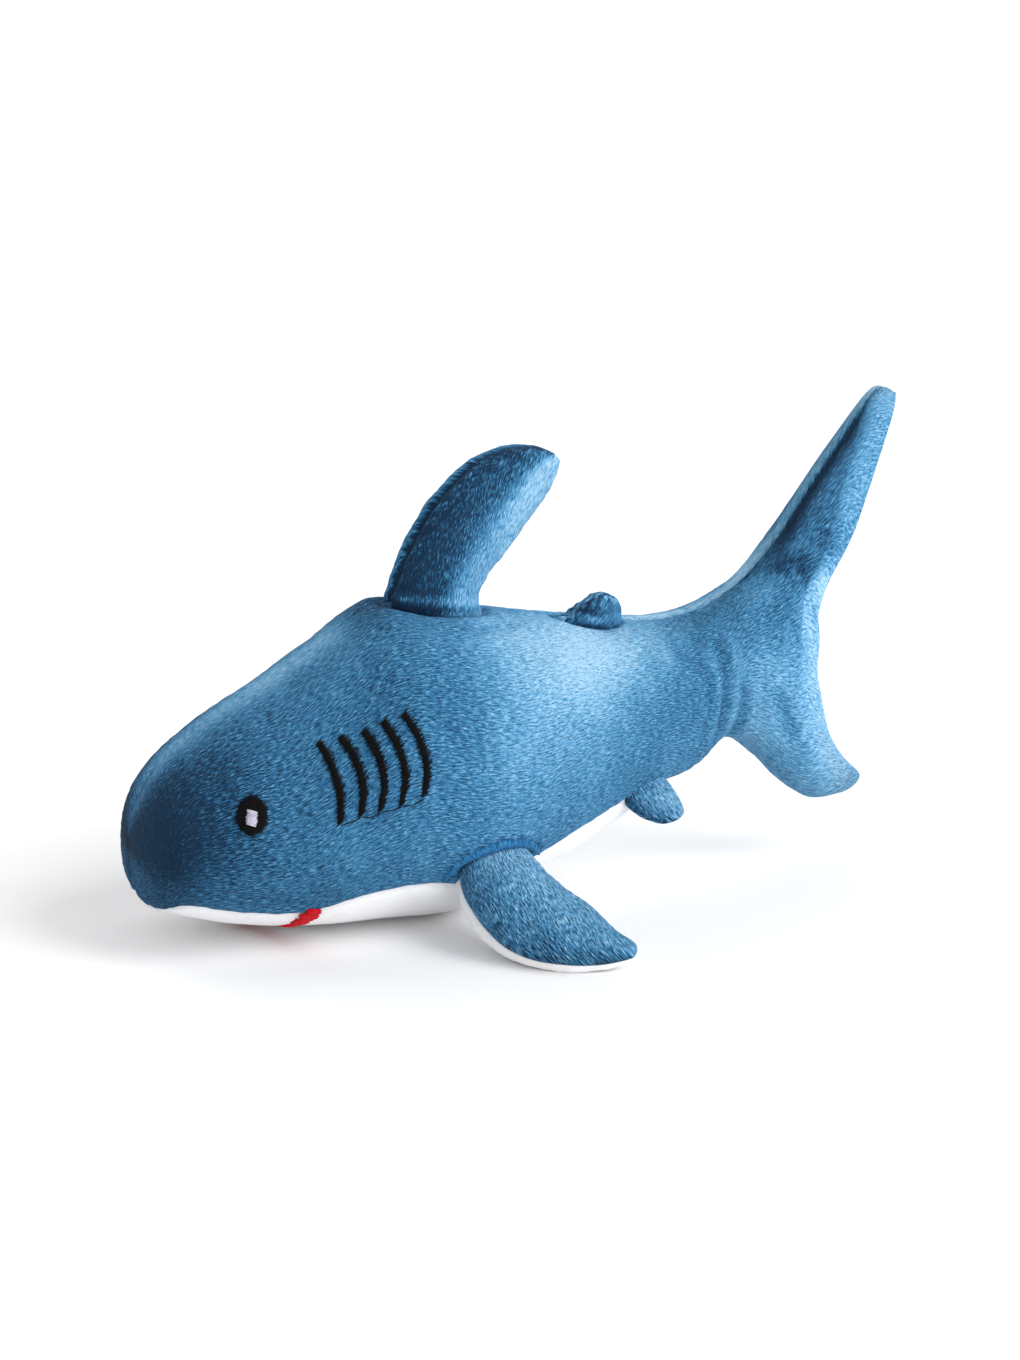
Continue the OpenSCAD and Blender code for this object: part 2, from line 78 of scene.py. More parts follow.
# ---- shape tables
# Top x z, bottom x z, half width, fullness, belly seam, bend x z, droop
RIBS = np.array([
    [0.2, 30.6, 0.0, 25.0, 0.0, 0.90, 1.000, 0, 0, 0.00],
    [2.8, 41.6, 2.4, 12.9, 18.8, 0.90, 0.930, 0, 0, 0.20],
    [9.6, 52.4, 9.5, 9.1, 27.2, 0.90, 0.680, 0, 0, 0.40],
    [23.5, 63.3, 24.8, 4.6, 32.2, 0.90, 0.660, 0, 0, 0.45],
    [41.3, 73.2, 42.6, 1.0, 36.1, 0.90, 0.675, 0, 0, 0.40],
    [59.0, 83.8, 60.4, -0.8, 38.6, 0.90, 0.655, 0, 0, 0.35],
    [76.7, 94.7, 78.2, -0.8, 39.6, 0.90, 0.670, 0, 0, 0.30],
    [95.5, 93.1, 97.0, -0.4, 39.1, 0.90, 0.700, 0, 0, 0.25],
    [113.4, 89.9, 114.4, 5.9, 36.6, 0.90, 0.730, 0, 0, 0.20],
    [131.2, 86.7, 131.2, 12.1, 32.7, 0.90, 0.710, 0, 0, 0.15],
    [149.0, 83.8, 148.0, 19.0, 27.7, 0.90, 0.700, 0, 0, 0.10],
    [165.3, 82.6, 163.9, 26.7, 22.3, 0.88, 0.770, 0, 0, 0.00],
    [180.2, 85.3, 179.2, 34.0, 17.3, 0.85, 0.900, 0, 0, 0.00],
    [193.9, 92.5, 191.1, 41.6, 12.9, 0.80, 1.000, 0, 0, 0.00],
    [205.8, 104.4, 203.0, 33.7, 11.4, 0.70, 1.000, -1, -1, 0.00],
    [216.7, 120.0, 211.9, 24.8, 10.4, 0.65, 1.000, -5, -4, 0.00],
    [228.4, 135.8, 221.8, 18.4, 8.9, 0.60, 1.000, -11, -8, 0.00],
    [239.9, 148.9, 233.2, 18.5, 5.9, 0.60, 1.000, -18, -14, 0.00],
    [250.0, 148.2, 246.4, 20.0, 0.0, 0.60, 1.000, -23, -20, 0.00],
])

# Fins: front edge x y z, rear edge x y z, half thickness, from inside the body out to the tip
DORSAL = np.array([
    [79.6, 0, 89.0, 109.6, 0, 86.0, 7.4],
    [78.8, 0, 94.6, 108.8, 0, 91.6, 8.8],
    [80.8, 0, 100.6, 109.4, 0, 96.4, 9.0],
    [83.6, 0, 108.0, 112.8, 0, 101.6, 9.2],
    [88.0, 0, 116.2, 117.4, 0, 106.6, 9.0],
    [95.8, 0, 126.4, 124.2, 0, 114.3, 8.0],
    [105.4, 0, 134.7, 131.2, 0, 123.2, 6.4],
    [115.6, 0, 138.6, 134.6, 0, 129.3, 5.0],
    [124.8, 0, 139.0, 135.9, 0, 132.4, 4.2],
    [129.8, 0, 138.6, 137.2, 0, 132.5, 3.4],
])
SECOND = np.array([
    [134.4, -2.6, 79.6, 153.0, -2.6, 76.6, 3.6],
    [133.4, -3.2, 82.8, 153.6, -3.2, 80.2, 4.8],
    [136.2, -3.8, 85.8, 154.2, -3.8, 83.2, 5.2],
    [140.6, -4.2, 89.2, 154.3, -4.2, 86.2, 4.8],
    [144.8, -4.4, 91.8, 153.6, -4.4, 88.9, 4.2],
    [147.6, -4.4, 93.0, 152.9, -4.4, 90.8, 3.4],
])
PECTORAL = np.array([
    [90.6, -28.0, 21.4, 112.4, -24.0, 23.0, 5.4],
    [89.0, -34.0, 18.0, 112.8, -30.0, 20.4, 7.6],
    [88.0, -40.0, 14.4, 113.7, -37.0, 17.8, 8.4],
    [88.6, -45.6, 11.0, 114.6, -43.0, 16.2, 8.2],
    [90.2, -51.6, 7.4, 117.0, -49.6, 14.8, 7.2],
    [93.2, -59.8, 4.0, 120.6, -57.8, 12.8, 6.0],
    [98.6, -67.6, 2.3, 122.8, -65.6, 10.2, 5.0],
    [106.8, -74.0, 1.9, 125.0, -72.2, 7.8, 4.2],
    [115.2, -77.6, 1.9, 128.4, -76.0, 6.2, 3.4],
    [121.2, -79.2, 2.1, 130.6, -77.8, 5.6, 2.8],
])
PELVIC = np.array([
    [148.4, -19.6, 34.0, 162.4, -14.0, 37.2, 3.0],
    [149.0, -23.0, 31.2, 163.6, -17.6, 34.4, 3.5],
    [151.4, -26.2, 28.6, 164.8, -21.4, 31.8, 3.3],
    [154.6, -28.8, 26.9, 165.2, -25.0, 29.8, 2.8],
    [157.6, -30.2, 26.0, 165.0, -27.8, 28.2, 2.3],
    [160.0, -31.0, 25.9, 164.6, -29.8, 27.2, 1.9],
])

# Surface positions of the embroidery: rib position and fraction from back to belly. The eye and its
# highlight each have a middle, and how far it reaches along and down.
EYE, EYE_ALONG, EYE_DOWN = (3.28, 0.350), (0.246, 0.014), (-0.056, 0.048)
LIGHT, LIGHT_ALONG, LIGHT_DOWN = (3.275, 0.356), (0.090, 0.003), (-0.026, 0.0160)
GILLS = np.array([
    [[4.46, 0.254], [4.59, 0.317], [4.65, 0.378], [4.61, 0.438]],
    [[4.80, 0.267], [4.96, 0.324], [5.03, 0.385], [4.95, 0.438]],
    [[5.16, 0.281], [5.32, 0.340], [5.37, 0.398], [5.27, 0.446]],
    [[5.48, 0.288], [5.65, 0.346], [5.72, 0.404], [5.62, 0.456]],
    [[5.82, 0.296], [6.01, 0.354], [6.08, 0.406], [6.00, 0.458]],
])


# ---- shape maths
def unit(a):
    return a / np.maximum(np.linalg.norm(a, axis=-1, keepdims=True), 1e-9)


def smooth(t):
    t = np.clip(t, 0, 1)
    return t * t * (3 - 2 * t)


def bell(d, width):
    return np.exp(-((d / width) ** 2))


def spline_rows(rows, u, before, after):
    ext = np.vstack([before, rows, after])
    i = np.clip(np.floor(u).astype(int), 0, len(rows) - 2)
    f = (u - i)[..., None]
    p0, p1, p2, p3 = ext[i], ext[i + 1], ext[i + 2], ext[i + 3]
    return 0.5 * (2 * p1 + (p2 - p0) * f + (2 * p0 - 5 * p1 + 4 * p2 - p3) * f * f
                  + (3 * p1 - p0 - 3 * p2 + p3) * f ** 3)


def rib_ends():
    a, b = RIBS[1].copy(), RIBS[-2].copy()
    before = np.array([a[2], a[3], a[0], a[1], -a[4], a[5], a[6], 0, 0, 0])
    after = b.copy()
    after[4] = -b[4]
    after[6] = 1
    return before, after


RIB_BEFORE, RIB_AFTER = rib_ends()


def rib_values(u):
    return spline_rows(RIBS, u, RIB_BEFORE, RIB_AFTER)


def plump_half(u, w):
    """Half width, with the rear edge of the tail kept rounded by its stuffing."""
    s = np.clip((u - 15) / 3, 0, 1)
    edge = 10.4 * np.sqrt(np.maximum(1 - s ** 2.2, 0))
    return np.where(u > 15, edge, np.maximum(w, 0))


def fraction(v):
    return (1 - np.cos(np.pi * v)) / 2


def round_tips(u, v):
    """Pulls in the corners of the tail lobes, so both tips are blunt and round."""
    a = np.clip(u - 17, 0, 1)
    f = fraction(v)
    for low, reach, square in ((False, 0.062, 0.35), (True, 0.125, 0.62)):
        g = 1 - f if low else f
        b = np.clip(1 - g / reach, 0, 1)
        g = np.where(b > 0, reach * (1 - b * np.sqrt(1 - square * a * a)), g)
        f = 1 - g if low else g
        a = a * np.sqrt(1 - (square + 0.04) * b * b)
    return np.where(u > 17, 17 + a, u), f


def body_surface(u, v, side, inset=0.0):
    """Points of the toy's body and tail in mm from the nose, optionally set in from the outside."""
    u, v = np.broadcast_arrays(np.asarray(u, float), np.asarray(v, float))
    flat_u, f0 = round_tips(u, v)
    r = rib_values(flat_u)
    f = f0 + r[..., 9] * f0 * (1 - f0)
    bend = np.sin(np.pi * np.clip(f, 0, 1) ** 1.15)
    chin = smooth((u - 0.5) / 1.0) * (1 - smooth((u - 5.0) / 1.5)) * smooth((v - 0.62) / 0.3)
    y = np.maximum(plump_half(u, r[..., 4]) - inset, 0.0)
    y = y * np.maximum(np.sin(np.pi * v), 0) ** (r[..., 5] + 0.32 * chin)
    top, low = np.stack([r[..., 0], r[..., 1]], -1), np.stack([r[..., 2], r[..., 3]], -1)
    mid, half = (top + low) / 2, (top - low) / 2
    h = np.linalg.norm(half, axis=-1, keepdims=True)
    spine = mid + half * np.maximum(h - inset, 0.3) / np.maximum(h, 1e-6) * (1 - 2 * f[..., None])
    x = spine[..., 0] + r[..., 7] * bend + inset * np.clip(1 - u / 2, 0, 1)
    z = spine[..., 1] + r[..., 8] * bend
    notch = 5.6 * bell(z - 83, 14) + 1.8 * bell(z - 61, 8)
    x = x - notch * smooth((u - 14.2) / 3.0)
    return np.stack([x, side * y, np.maximum(z, inset)], -1)


def belly_seam(u):
    """Fraction from back to belly where the blue side meets the white belly."""
    u = np.asarray(u, float)
    table = np.minimum(rib_values(u)[..., 6], 1)
    table = table + 0.014 * smooth((u - 1.2) / 0.8) * (1 - smooth((u - 4.2) / 0.8))
    ends = smooth((u - 0.70) / 0.35) * (1 - smooth((u - 11.9) / 0.7))
    return 1 - (1 - table) * ends


def grid_normals(p, flip=False):
    n = unit(np.cross(np.gradient(p, axis=0), np.gradient(p, axis=1)))
    return -n if flip else n


def outward(p, n, centre):
    """Turns a whole grid's normals to point away from the centre line of the shape."""
    return n if np.sum(n * (p - centre)) > 0 else -n


def arc(p, axis):
    """Distance along the surface from the first row or column."""
    step = np.linalg.norm(np.diff(p, axis=axis), axis=-1)
    pad = [(0, 0), (0, 0)]
    pad[axis] = (1, 0)
    return np.cumsum(np.pad(step, pad), axis=axis)


def lumps(p, size, seed, count=9):
    """Smooth uneven values from about -1 to 1, over distances of about size mm."""
    r = np.random.default_rng(seed)
    total = np.zeros(p.shape[:-1])
    for _ in range(count):
        k = unit(r.normal(size=3)) * (2 * np.pi / size) * r.uniform(0.6, 1.4)
        total += np.sin(p @ k + r.uniform(0, 2 * np.pi))
    return total / math.sqrt(count)


def near_line(p, line):
    """Distance from each point to a line of points, and how far along the line it is (0 to 1)."""
    line = np.asarray(line, float)
    best = np.full(p.shape[:-1], 1e9)
    along = np.zeros(p.shape[:-1])
    steps = np.r_[0, np.cumsum(np.linalg.norm(np.diff(line, axis=0), axis=1))]
    for i in range(len(line) - 1):
        a, d = line[i], line[i + 1] - line[i]
        t = np.clip(((p - a) @ d) / max(d @ d, 1e-9), 0, 1)
        gap = np.linalg.norm(p - (a + t[..., None] * d), axis=-1)
        closer = gap < best
        best = np.where(closer, gap, best)
        along = np.where(closer, (steps[i] + t * (steps[i + 1] - steps[i])) / steps[-1], along)
    return best, along


def fade_ends(t, first, last):
    """1 along a line from 0 to 1, falling to 0 over the given shares at its ends."""
    return smooth(t / first) * smooth((1 - t) / last)


def crease(p, n, line, depth, width, shoulder=0.35):
    """Sinks the cloth along a line, with a soft shoulder on both sides, fading at the line's ends."""
    d, t = near_line(p, line)
    fade = fade_ends(t, 0.25, 0.25)
    dip = -depth * bell(d, width)
    rise = shoulder * depth * bell(d - 2.0 * width, 1.1 * width)
    return p + n * ((dip + rise) * fade)[..., None]


def to_frame(p):
    """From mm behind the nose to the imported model's metres."""
    q = np.asarray(p, float) * (SCALE * METRES)
    q[..., 0] += NOSE_X
    return q


# ---- meshes
def mesh_object(name, verts, faces, uv=None, smooth_shade=True, tone=None):
    me = bpy.data.meshes.new(name)
    me.from_pydata([tuple(v) for v in verts], [], [tuple(int(i) for i in f) for f in faces])
    me.validate()
    me.update()
    if uv is not None:
        layer = me.uv_layers.new(name="pile")
        loops = np.zeros(len(me.loops), np.int32)
        me.loops.foreach_get("vertex_index", loops)
        layer.data.foreach_set("uv", uv[loops].astype(np.float32).ravel())
    if smooth_shade:
        me.polygons.foreach_set("use_smooth", [True] * len(me.polygons))
    if tone is not None:
        layer = me.attributes.new("tone", "FLOAT", "POINT")
        layer.data.foreach_set("value", tone.astype(np.float32))
    ob = bpy.data.objects.new(name, me)
    bpy.context.scene.collection.objects.link(ob)
    return ob


def grid_quads(m, n, first=0, flip=False):
    i, j = np.meshgrid(np.arange(m - 1), np.arange(n - 1), indexing="ij")
    a = (first + i * n + j).ravel()
    q = np.stack([a, a + 1, a + n + 1, a + n], -1)
    return q[:, ::-1] if flip else q


def grid_walls(m, w, flip=False):
    """The quads that close two grids of the same size along their edges."""
    total = m * w
    rim = list(range(w)) + [i * w + w - 1 for i in range(1, m)]
    rim += [(m - 1) * w + w - 2 - j for j in range(w - 1)] + [(m - 2 - i) * w for i in range(m - 2)]
    pairs = zip(rim, rim[1:] + rim[:1])
    return [(a, b, b + total, a + total) if flip else (a, a + total, b + total, b) for a, b in pairs]


def cloth_panel(name, p, n, thickness, uv, tone=None):
    """A closed panel of cloth: the outer grid, the same grid set inwards, and the cut edges."""
    m, w = p.shape[:2]
    flip = not faces_outward(p, n)
    inner = p - n * thickness
    if tone is None:
        tone = np.zeros((m, w))
    verts = to_frame(np.concatenate([p.reshape(-1, 3), inner.reshape(-1, 3)]))
    faces = np.concatenate([grid_quads(m, w, 0, flip), grid_quads(m, w, m * w, not flip),
                            np.array(grid_walls(m, w, flip))])
    uvs = np.concatenate([uv.reshape(-1, 2), uv.reshape(-1, 2)]) * METRES
    return mesh_object(name, verts, faces, uvs, tone=np.concatenate([tone.ravel(), tone.ravel()]))


def faces_outward(p, n):
    """True where the grid's own quads already wind away from the cloth's inside."""
    c = np.cross(p[1:, :-1] - p[:-1, :-1], p[:-1, 1:] - p[:-1, :-1])
    return np.sum(c * n[:-1, :-1]) < 0


def clustered(count, power=0.11):
    """0 to 1 with closer steps near both ends."""
    s = np.linspace(0, 1, count)
    return s - power * np.sin(2 * np.pi * s)


# ---- folds and dents in the body
def dorsal_foot():
    t = np.linspace(0, 2 * np.pi, 40)
    x = 94.4 + 16.0 * np.cos(t)
    y = 8.6 * np.sign(np.sin(t)) * np.abs(np.sin(t)) ** 0.8
    z = np.interp(x, [76, 96, 114], [94.4, 92.6, 89.4]) - y * y * 0.012
    return np.stack([x, y, z], -1)


def second_foot():
    t = np.linspace(0, 2 * np.pi, 30)
    x = 143.6 + 10.6 * np.cos(t)
    y = -3.3 + 5.4 * np.sin(t)
    return np.stack([x, y, np.interp(x, [130, 158], [86.9, 82.9]) - y * y * 0.02], -1)


PECTORAL_ARC = np.array([[6.36, 0.668], [6.46, 0.636], [6.66, 0.611], [6.95, 0.598], [7.35, 0.602],
                         [7.72, 0.624], [8.00, 0.660], [8.20, 0.712]])
# Folds, most of them where the body narrows into the tail: surface positions, depth, width
FOLDS = [
    ([[12.05, 0.20], [12.30, 0.38], [12.42, 0.58], [12.20, 0.80]], 1.00, 2.2),
    ([[11.55, 0.24], [11.85, 0.40], [11.95, 0.56], [11.75, 0.72]], 0.60, 1.8),
    ([[12.75, 0.50], [13.05, 0.62], [13.10, 0.78], [12.90, 0.94]], 0.80, 1.9),
    ([[11.00, 0.14], [11.20, 0.26], [11.55, 0.34], [11.70, 0.44]], 0.50, 2.0),
    ([[12.60, 0.08], [13.60, 0.16], [14.90, 0.29], [16.15, 0.395], [17.00, 0.43], [17.95, 0.46]],
     1.20, 2.8),
    ([[13.60, 0.62], [14.20, 0.60], [14.90, 0.64], [15.60, 0.72]], 0.60, 2.4),
    ([[7.00, 0.105], [7.40, 0.125], [7.90, 0.110], [8.40, 0.080]], 0.45, 2.2),
    ([[2.60, 0.57], [3.20, 0.60], [3.70, 0.62], [4.20, 0.63]], 0.35, 2.6),
]
# Patches of painted light (above 0) or painted shade (below 0) on the body: middle and reach in x and in
# the fraction from back to belly, then the tone
LIGHT_SHADE_PATCHES = [
    (82, 18, 0.30, 0.15, -0.35),
    (138, 30, 0.18, 0.20, 1.52),
    (116, 24, 0.40, 0.24, 0.40),
    (176, 13, 0.25, 0.22, -0.25),
    (74, 7, 0.00, 0.10, -0.90),
]
# Painted light and shade the same way beside the fork of the tail, in x and z
FORK_PATCHES = [
    (220, 6, 87, 7, 0.50),
    (211, 7, 94, 4, -0.45),
    (222, 7, 102, 6, -0.40),
]


def shape_body(p, n, u, v, side):
    """Adds the soft unevenness, folds and dents that stuffing and sewing give the body.

    Also returns the tone: painted light (above 0) and painted shade (below 0), with some random variation.
    """
    x, y, z = p[..., 0], p[..., 1], p[..., 2]
    # Painted shade over the head, deepest at the nose, where the light falls off
    nose = smooth((38 - x) / 36) * smooth((v + 0.01) / 0.20)
    tone = -0.40 * smooth((78 - x) / 60) - 1.55 * nose * (1 - 0.80 * smooth((v - 0.37) / 0.25))
    # Patches of painted light and painted shade
    for mid_x, wide, mid_v, high, lean in LIGHT_SHADE_PATCHES:
        tone = tone + lean * bell(x - mid_x, wide) * bell(v - mid_v, high)
    # Painted light low on the rear of the tail, painted shade on the upper lobe, painted light along the
    # tail's rear edge
    tone = tone + 0.60 * smooth((x - 186) / 16) * smooth((v - 0.34) / 0.2)
    lobe = smooth((u - 13.6) / 1.2) * (1 - smooth((u - 16.4) / 1.0))
    tone = tone - 0.30 * lobe * (1 - smooth((v - 0.16) / 0.14))
    tone = tone + 0.50 * smooth((u - 16.2) / 1.2)
    for mid_x, wide, mid_z, high, lean in FORK_PATCHES:
        tone = tone + lean * bell(x - mid_x, wide) * bell(z - mid_z, high)
    tone = tone + 0.09 * lumps(p, 30, 61) + 0.06 * lumps(p, 11, 62)
    tail = smooth((x - 180) / 40)
    thin = np.clip(np.abs(y) / 6, 0, 1)
    flat = smooth((z - 1.5) / 6)
    soft = 0.32 * lumps(p, 46, 3) + 0.12 * lumps(p, 17, 5)
    clumps = 0.11 * lumps(p * [0.45, 1, 1], 2.6, 75, 14)
    p = p + n * ((soft + clumps) * thin * flat * (1 - 0.4 * tail))[..., None]
    # Painted shade in each fold and painted light on the shoulder beside it
    for line, depth, width in FOLDS:
        pts = body_surface([q[0] for q in line], [q[1] for q in line], side)
        d, t = near_line(p, pts)
        ends = fade_ends(t, 0.25, 0.25)
        tone = tone - 0.45 * depth * ends * bell(d, 0.8 * width)
        tone = tone + 0.30 * depth * ends * bell(d - 2.1 * width, 1.2 * width)
        p = crease(p, n, pts, depth, width)
    # Painted shade in the dents round the feet of the back fins
    d, _ = near_line(p, dorsal_foot())
    p = p - n * (1.3 * bell(d, 2.0))[..., None]
    tone = tone - 0.7 * bell(d, 1.8)
    d, _ = near_line(p, second_foot())
    p = p - n * (0.9 * bell(d, 1.4))[..., None]
    tone = tone - 0.8 * bell(d, 1.5)
    return p, tone


def seam_shift(u, v):
    """The back seam rolls towards one side of the toy along the upper tail."""
    along = smooth((u - 9.8) / 2.4) * (1 - 0.8 * smooth((u - 16.4) / 1.4))
    return -4.8 * along * (1 - smooth(v / 0.26))


def body_skin(name, side):
    rows, cols = 330, 100
    u = np.concatenate([np.linspace(0, 1, 24)[:-1], np.linspace(1, 17, rows - 46)[:-1],
                        17 + np.sin(np.linspace(0, np.pi / 2, 24))])
    u, s = np.meshgrid(u, clustered(cols), indexing="ij")
    v = s * belly_seam(u)
    p = body_surface(u, v, side)
    p[..., 1] += seam_shift(u, v)
    centre = body_surface(u[:, :1], 0.5, side) * [1, 0, 1]
    n = outward(p, grid_normals(p), centre)
    n[0] = unit(np.array([-1.0, 0.12 * side, 0.0]))
    back, along = arc(p, 1), arc(p, 0)
    along = (along + along[:, cols // 2:cols // 2 + 1]) / 2
    across = (s - 0.5) * (0.5 * back[:, -1:] + 52)
    p, tone = shape_body(p, n, u, v, side)
    w = plump_half(u, rib_values(u)[..., 4])
    seam_distance = back[:, -1:] - back
    has_belly = (belly_seam(u) < 0.995)
    room = smooth((w - 0.5) / 5)
    shown = 0.18 + 0.82 * smooth((u - 8.0) / 1.5)
    dip = 1.35 * bell(back, 1.2) * room * shown
    dip += np.where(has_belly, 1.0, 0.9 * room) * bell(seam_distance, 1.3)
    # Painted shade in the groove of the back seam
    tone = tone - 1.0 * bell(back, 0.8) * room * smooth((u - 8.0) / 1.0)
    # Painted highlight along the crown of the head
    brow = smooth((u - 0.8) / 1.5) * (1 - smooth((u - 5.0) / 0.9))
    tone = tone + 1.10 * brow * bell(back, 9.0)
    # Painted shade on the upper tail lobe and, on the near side, beside the back seam; painted light on
    # the far side's strip
    lobe = smooth((u - 13.2) / 1.2)
    tip = smooth((u - 16.15) / 0.6)
    tone = tone - 0.25 * lobe * (1 - tip) * (1 - smooth((v - 0.45) / 0.1))
    if side < 0:
        depth = (1.35 + 0.75 * bell(u - 14.2, 0.9)) * lobe * (1 - 1.5 * tip)
        tone = tone - depth * bell(back - 1.2, 7.0) * smooth(back / 0.8)
    else:
        tone = tone + 1.45 * smooth((u - 9.6) / 1.6) * bell(back, 7.0) * smooth(back / 0.9)

    # The rolled edge where the side fin is sewn on: a band above, a deep crease below it
    line = PECTORAL_ARC
    d, t = near_line(p, body_surface(line[:, 0], line[:, 1], side))
    below = v > np.interp(u, line[:, 0], line[:, 1])
    d = np.where(below, -d, d)
    fade = fade_ends(t, 0.12, 0.10)
    band = 0.7 * bell(d - 2.2, 1.4)
    groove = 2.2 * bell(d + 0.9, 1.3) + 1.2 * bell(d + 3.0, 2.5)
    dip = dip - (band - groove) * fade
    # The band is painted a little darker, and the crease below it in painted shade
    tone = tone - fade * 0.35 * bell(d - 1.6, 1.4)
    tone = tone - fade * 0.80 * bell(d + 1.0, 1.1)

    p = p - n * dip[..., None]
    tilt = seam_shift(u, v)
    p[..., 1] = tilt + side * np.maximum(side * (p[..., 1] - tilt), SEAM_GAP)
    p[..., 2] = np.maximum(p[..., 2], 0.05)
    return cloth_panel(name, p, n, np.minimum(1.1, 0.08 + 0.3 * w)[..., None],
                       np.stack([along, across], -1), tone)


def belly_skin(name):
    u = np.linspace(0.72, 12.56, 190)
    s = np.concatenate([-clustered(40)[::-1], clustered(40)[1:]])
    u, s = np.meshgrid(u, s, indexing="ij")
    vs = belly_seam(u)
    v = 1 - (1 - vs) * np.abs(s)
    side = np.where(s < 0, -1.0, 1.0)
    p = body_surface(u, v, 1)
    p[..., 1] *= side
    centre = body_surface(u[:, :1], 0.5, 1) * [1, 0, 1]
    n = outward(p, grid_normals(p), centre)
    across = arc(p, 1)
    edge = np.minimum(across, across[:, -1:] - across)
    along = arc(p, 0)
    flat = smooth((p[..., 2] - 1.5) / 6)
    p = p + n * ((0.25 * lumps(p, 34, 11) + 0.1 * lumps(p, 12, 12)) * flat)[..., None]
    dip = 1.1 * bell(edge, 1.5) + 0.35 * bell(edge - 1.2, 4.0) * flat
    p = p - n * dip[..., None]
    p[..., 2] = np.maximum(p[..., 2], 0.0)
    uv = np.stack([along, across], -1)
    # Painted shade along the belly's sunken seams, plus random variation
    tone = -0.5 * bell(edge, 0.9) + 0.1 * lumps(p, 22, 63)
    return cloth_panel(name, p, n, CLOTH, uv, tone)


# ---- fins
def fin_rows(table, s):
    before = 2 * table[0] - table[1]
    after = 2 * table[-1] - table[-2]
    return spline_rows(table, s * (len(table) - 1), before, after)


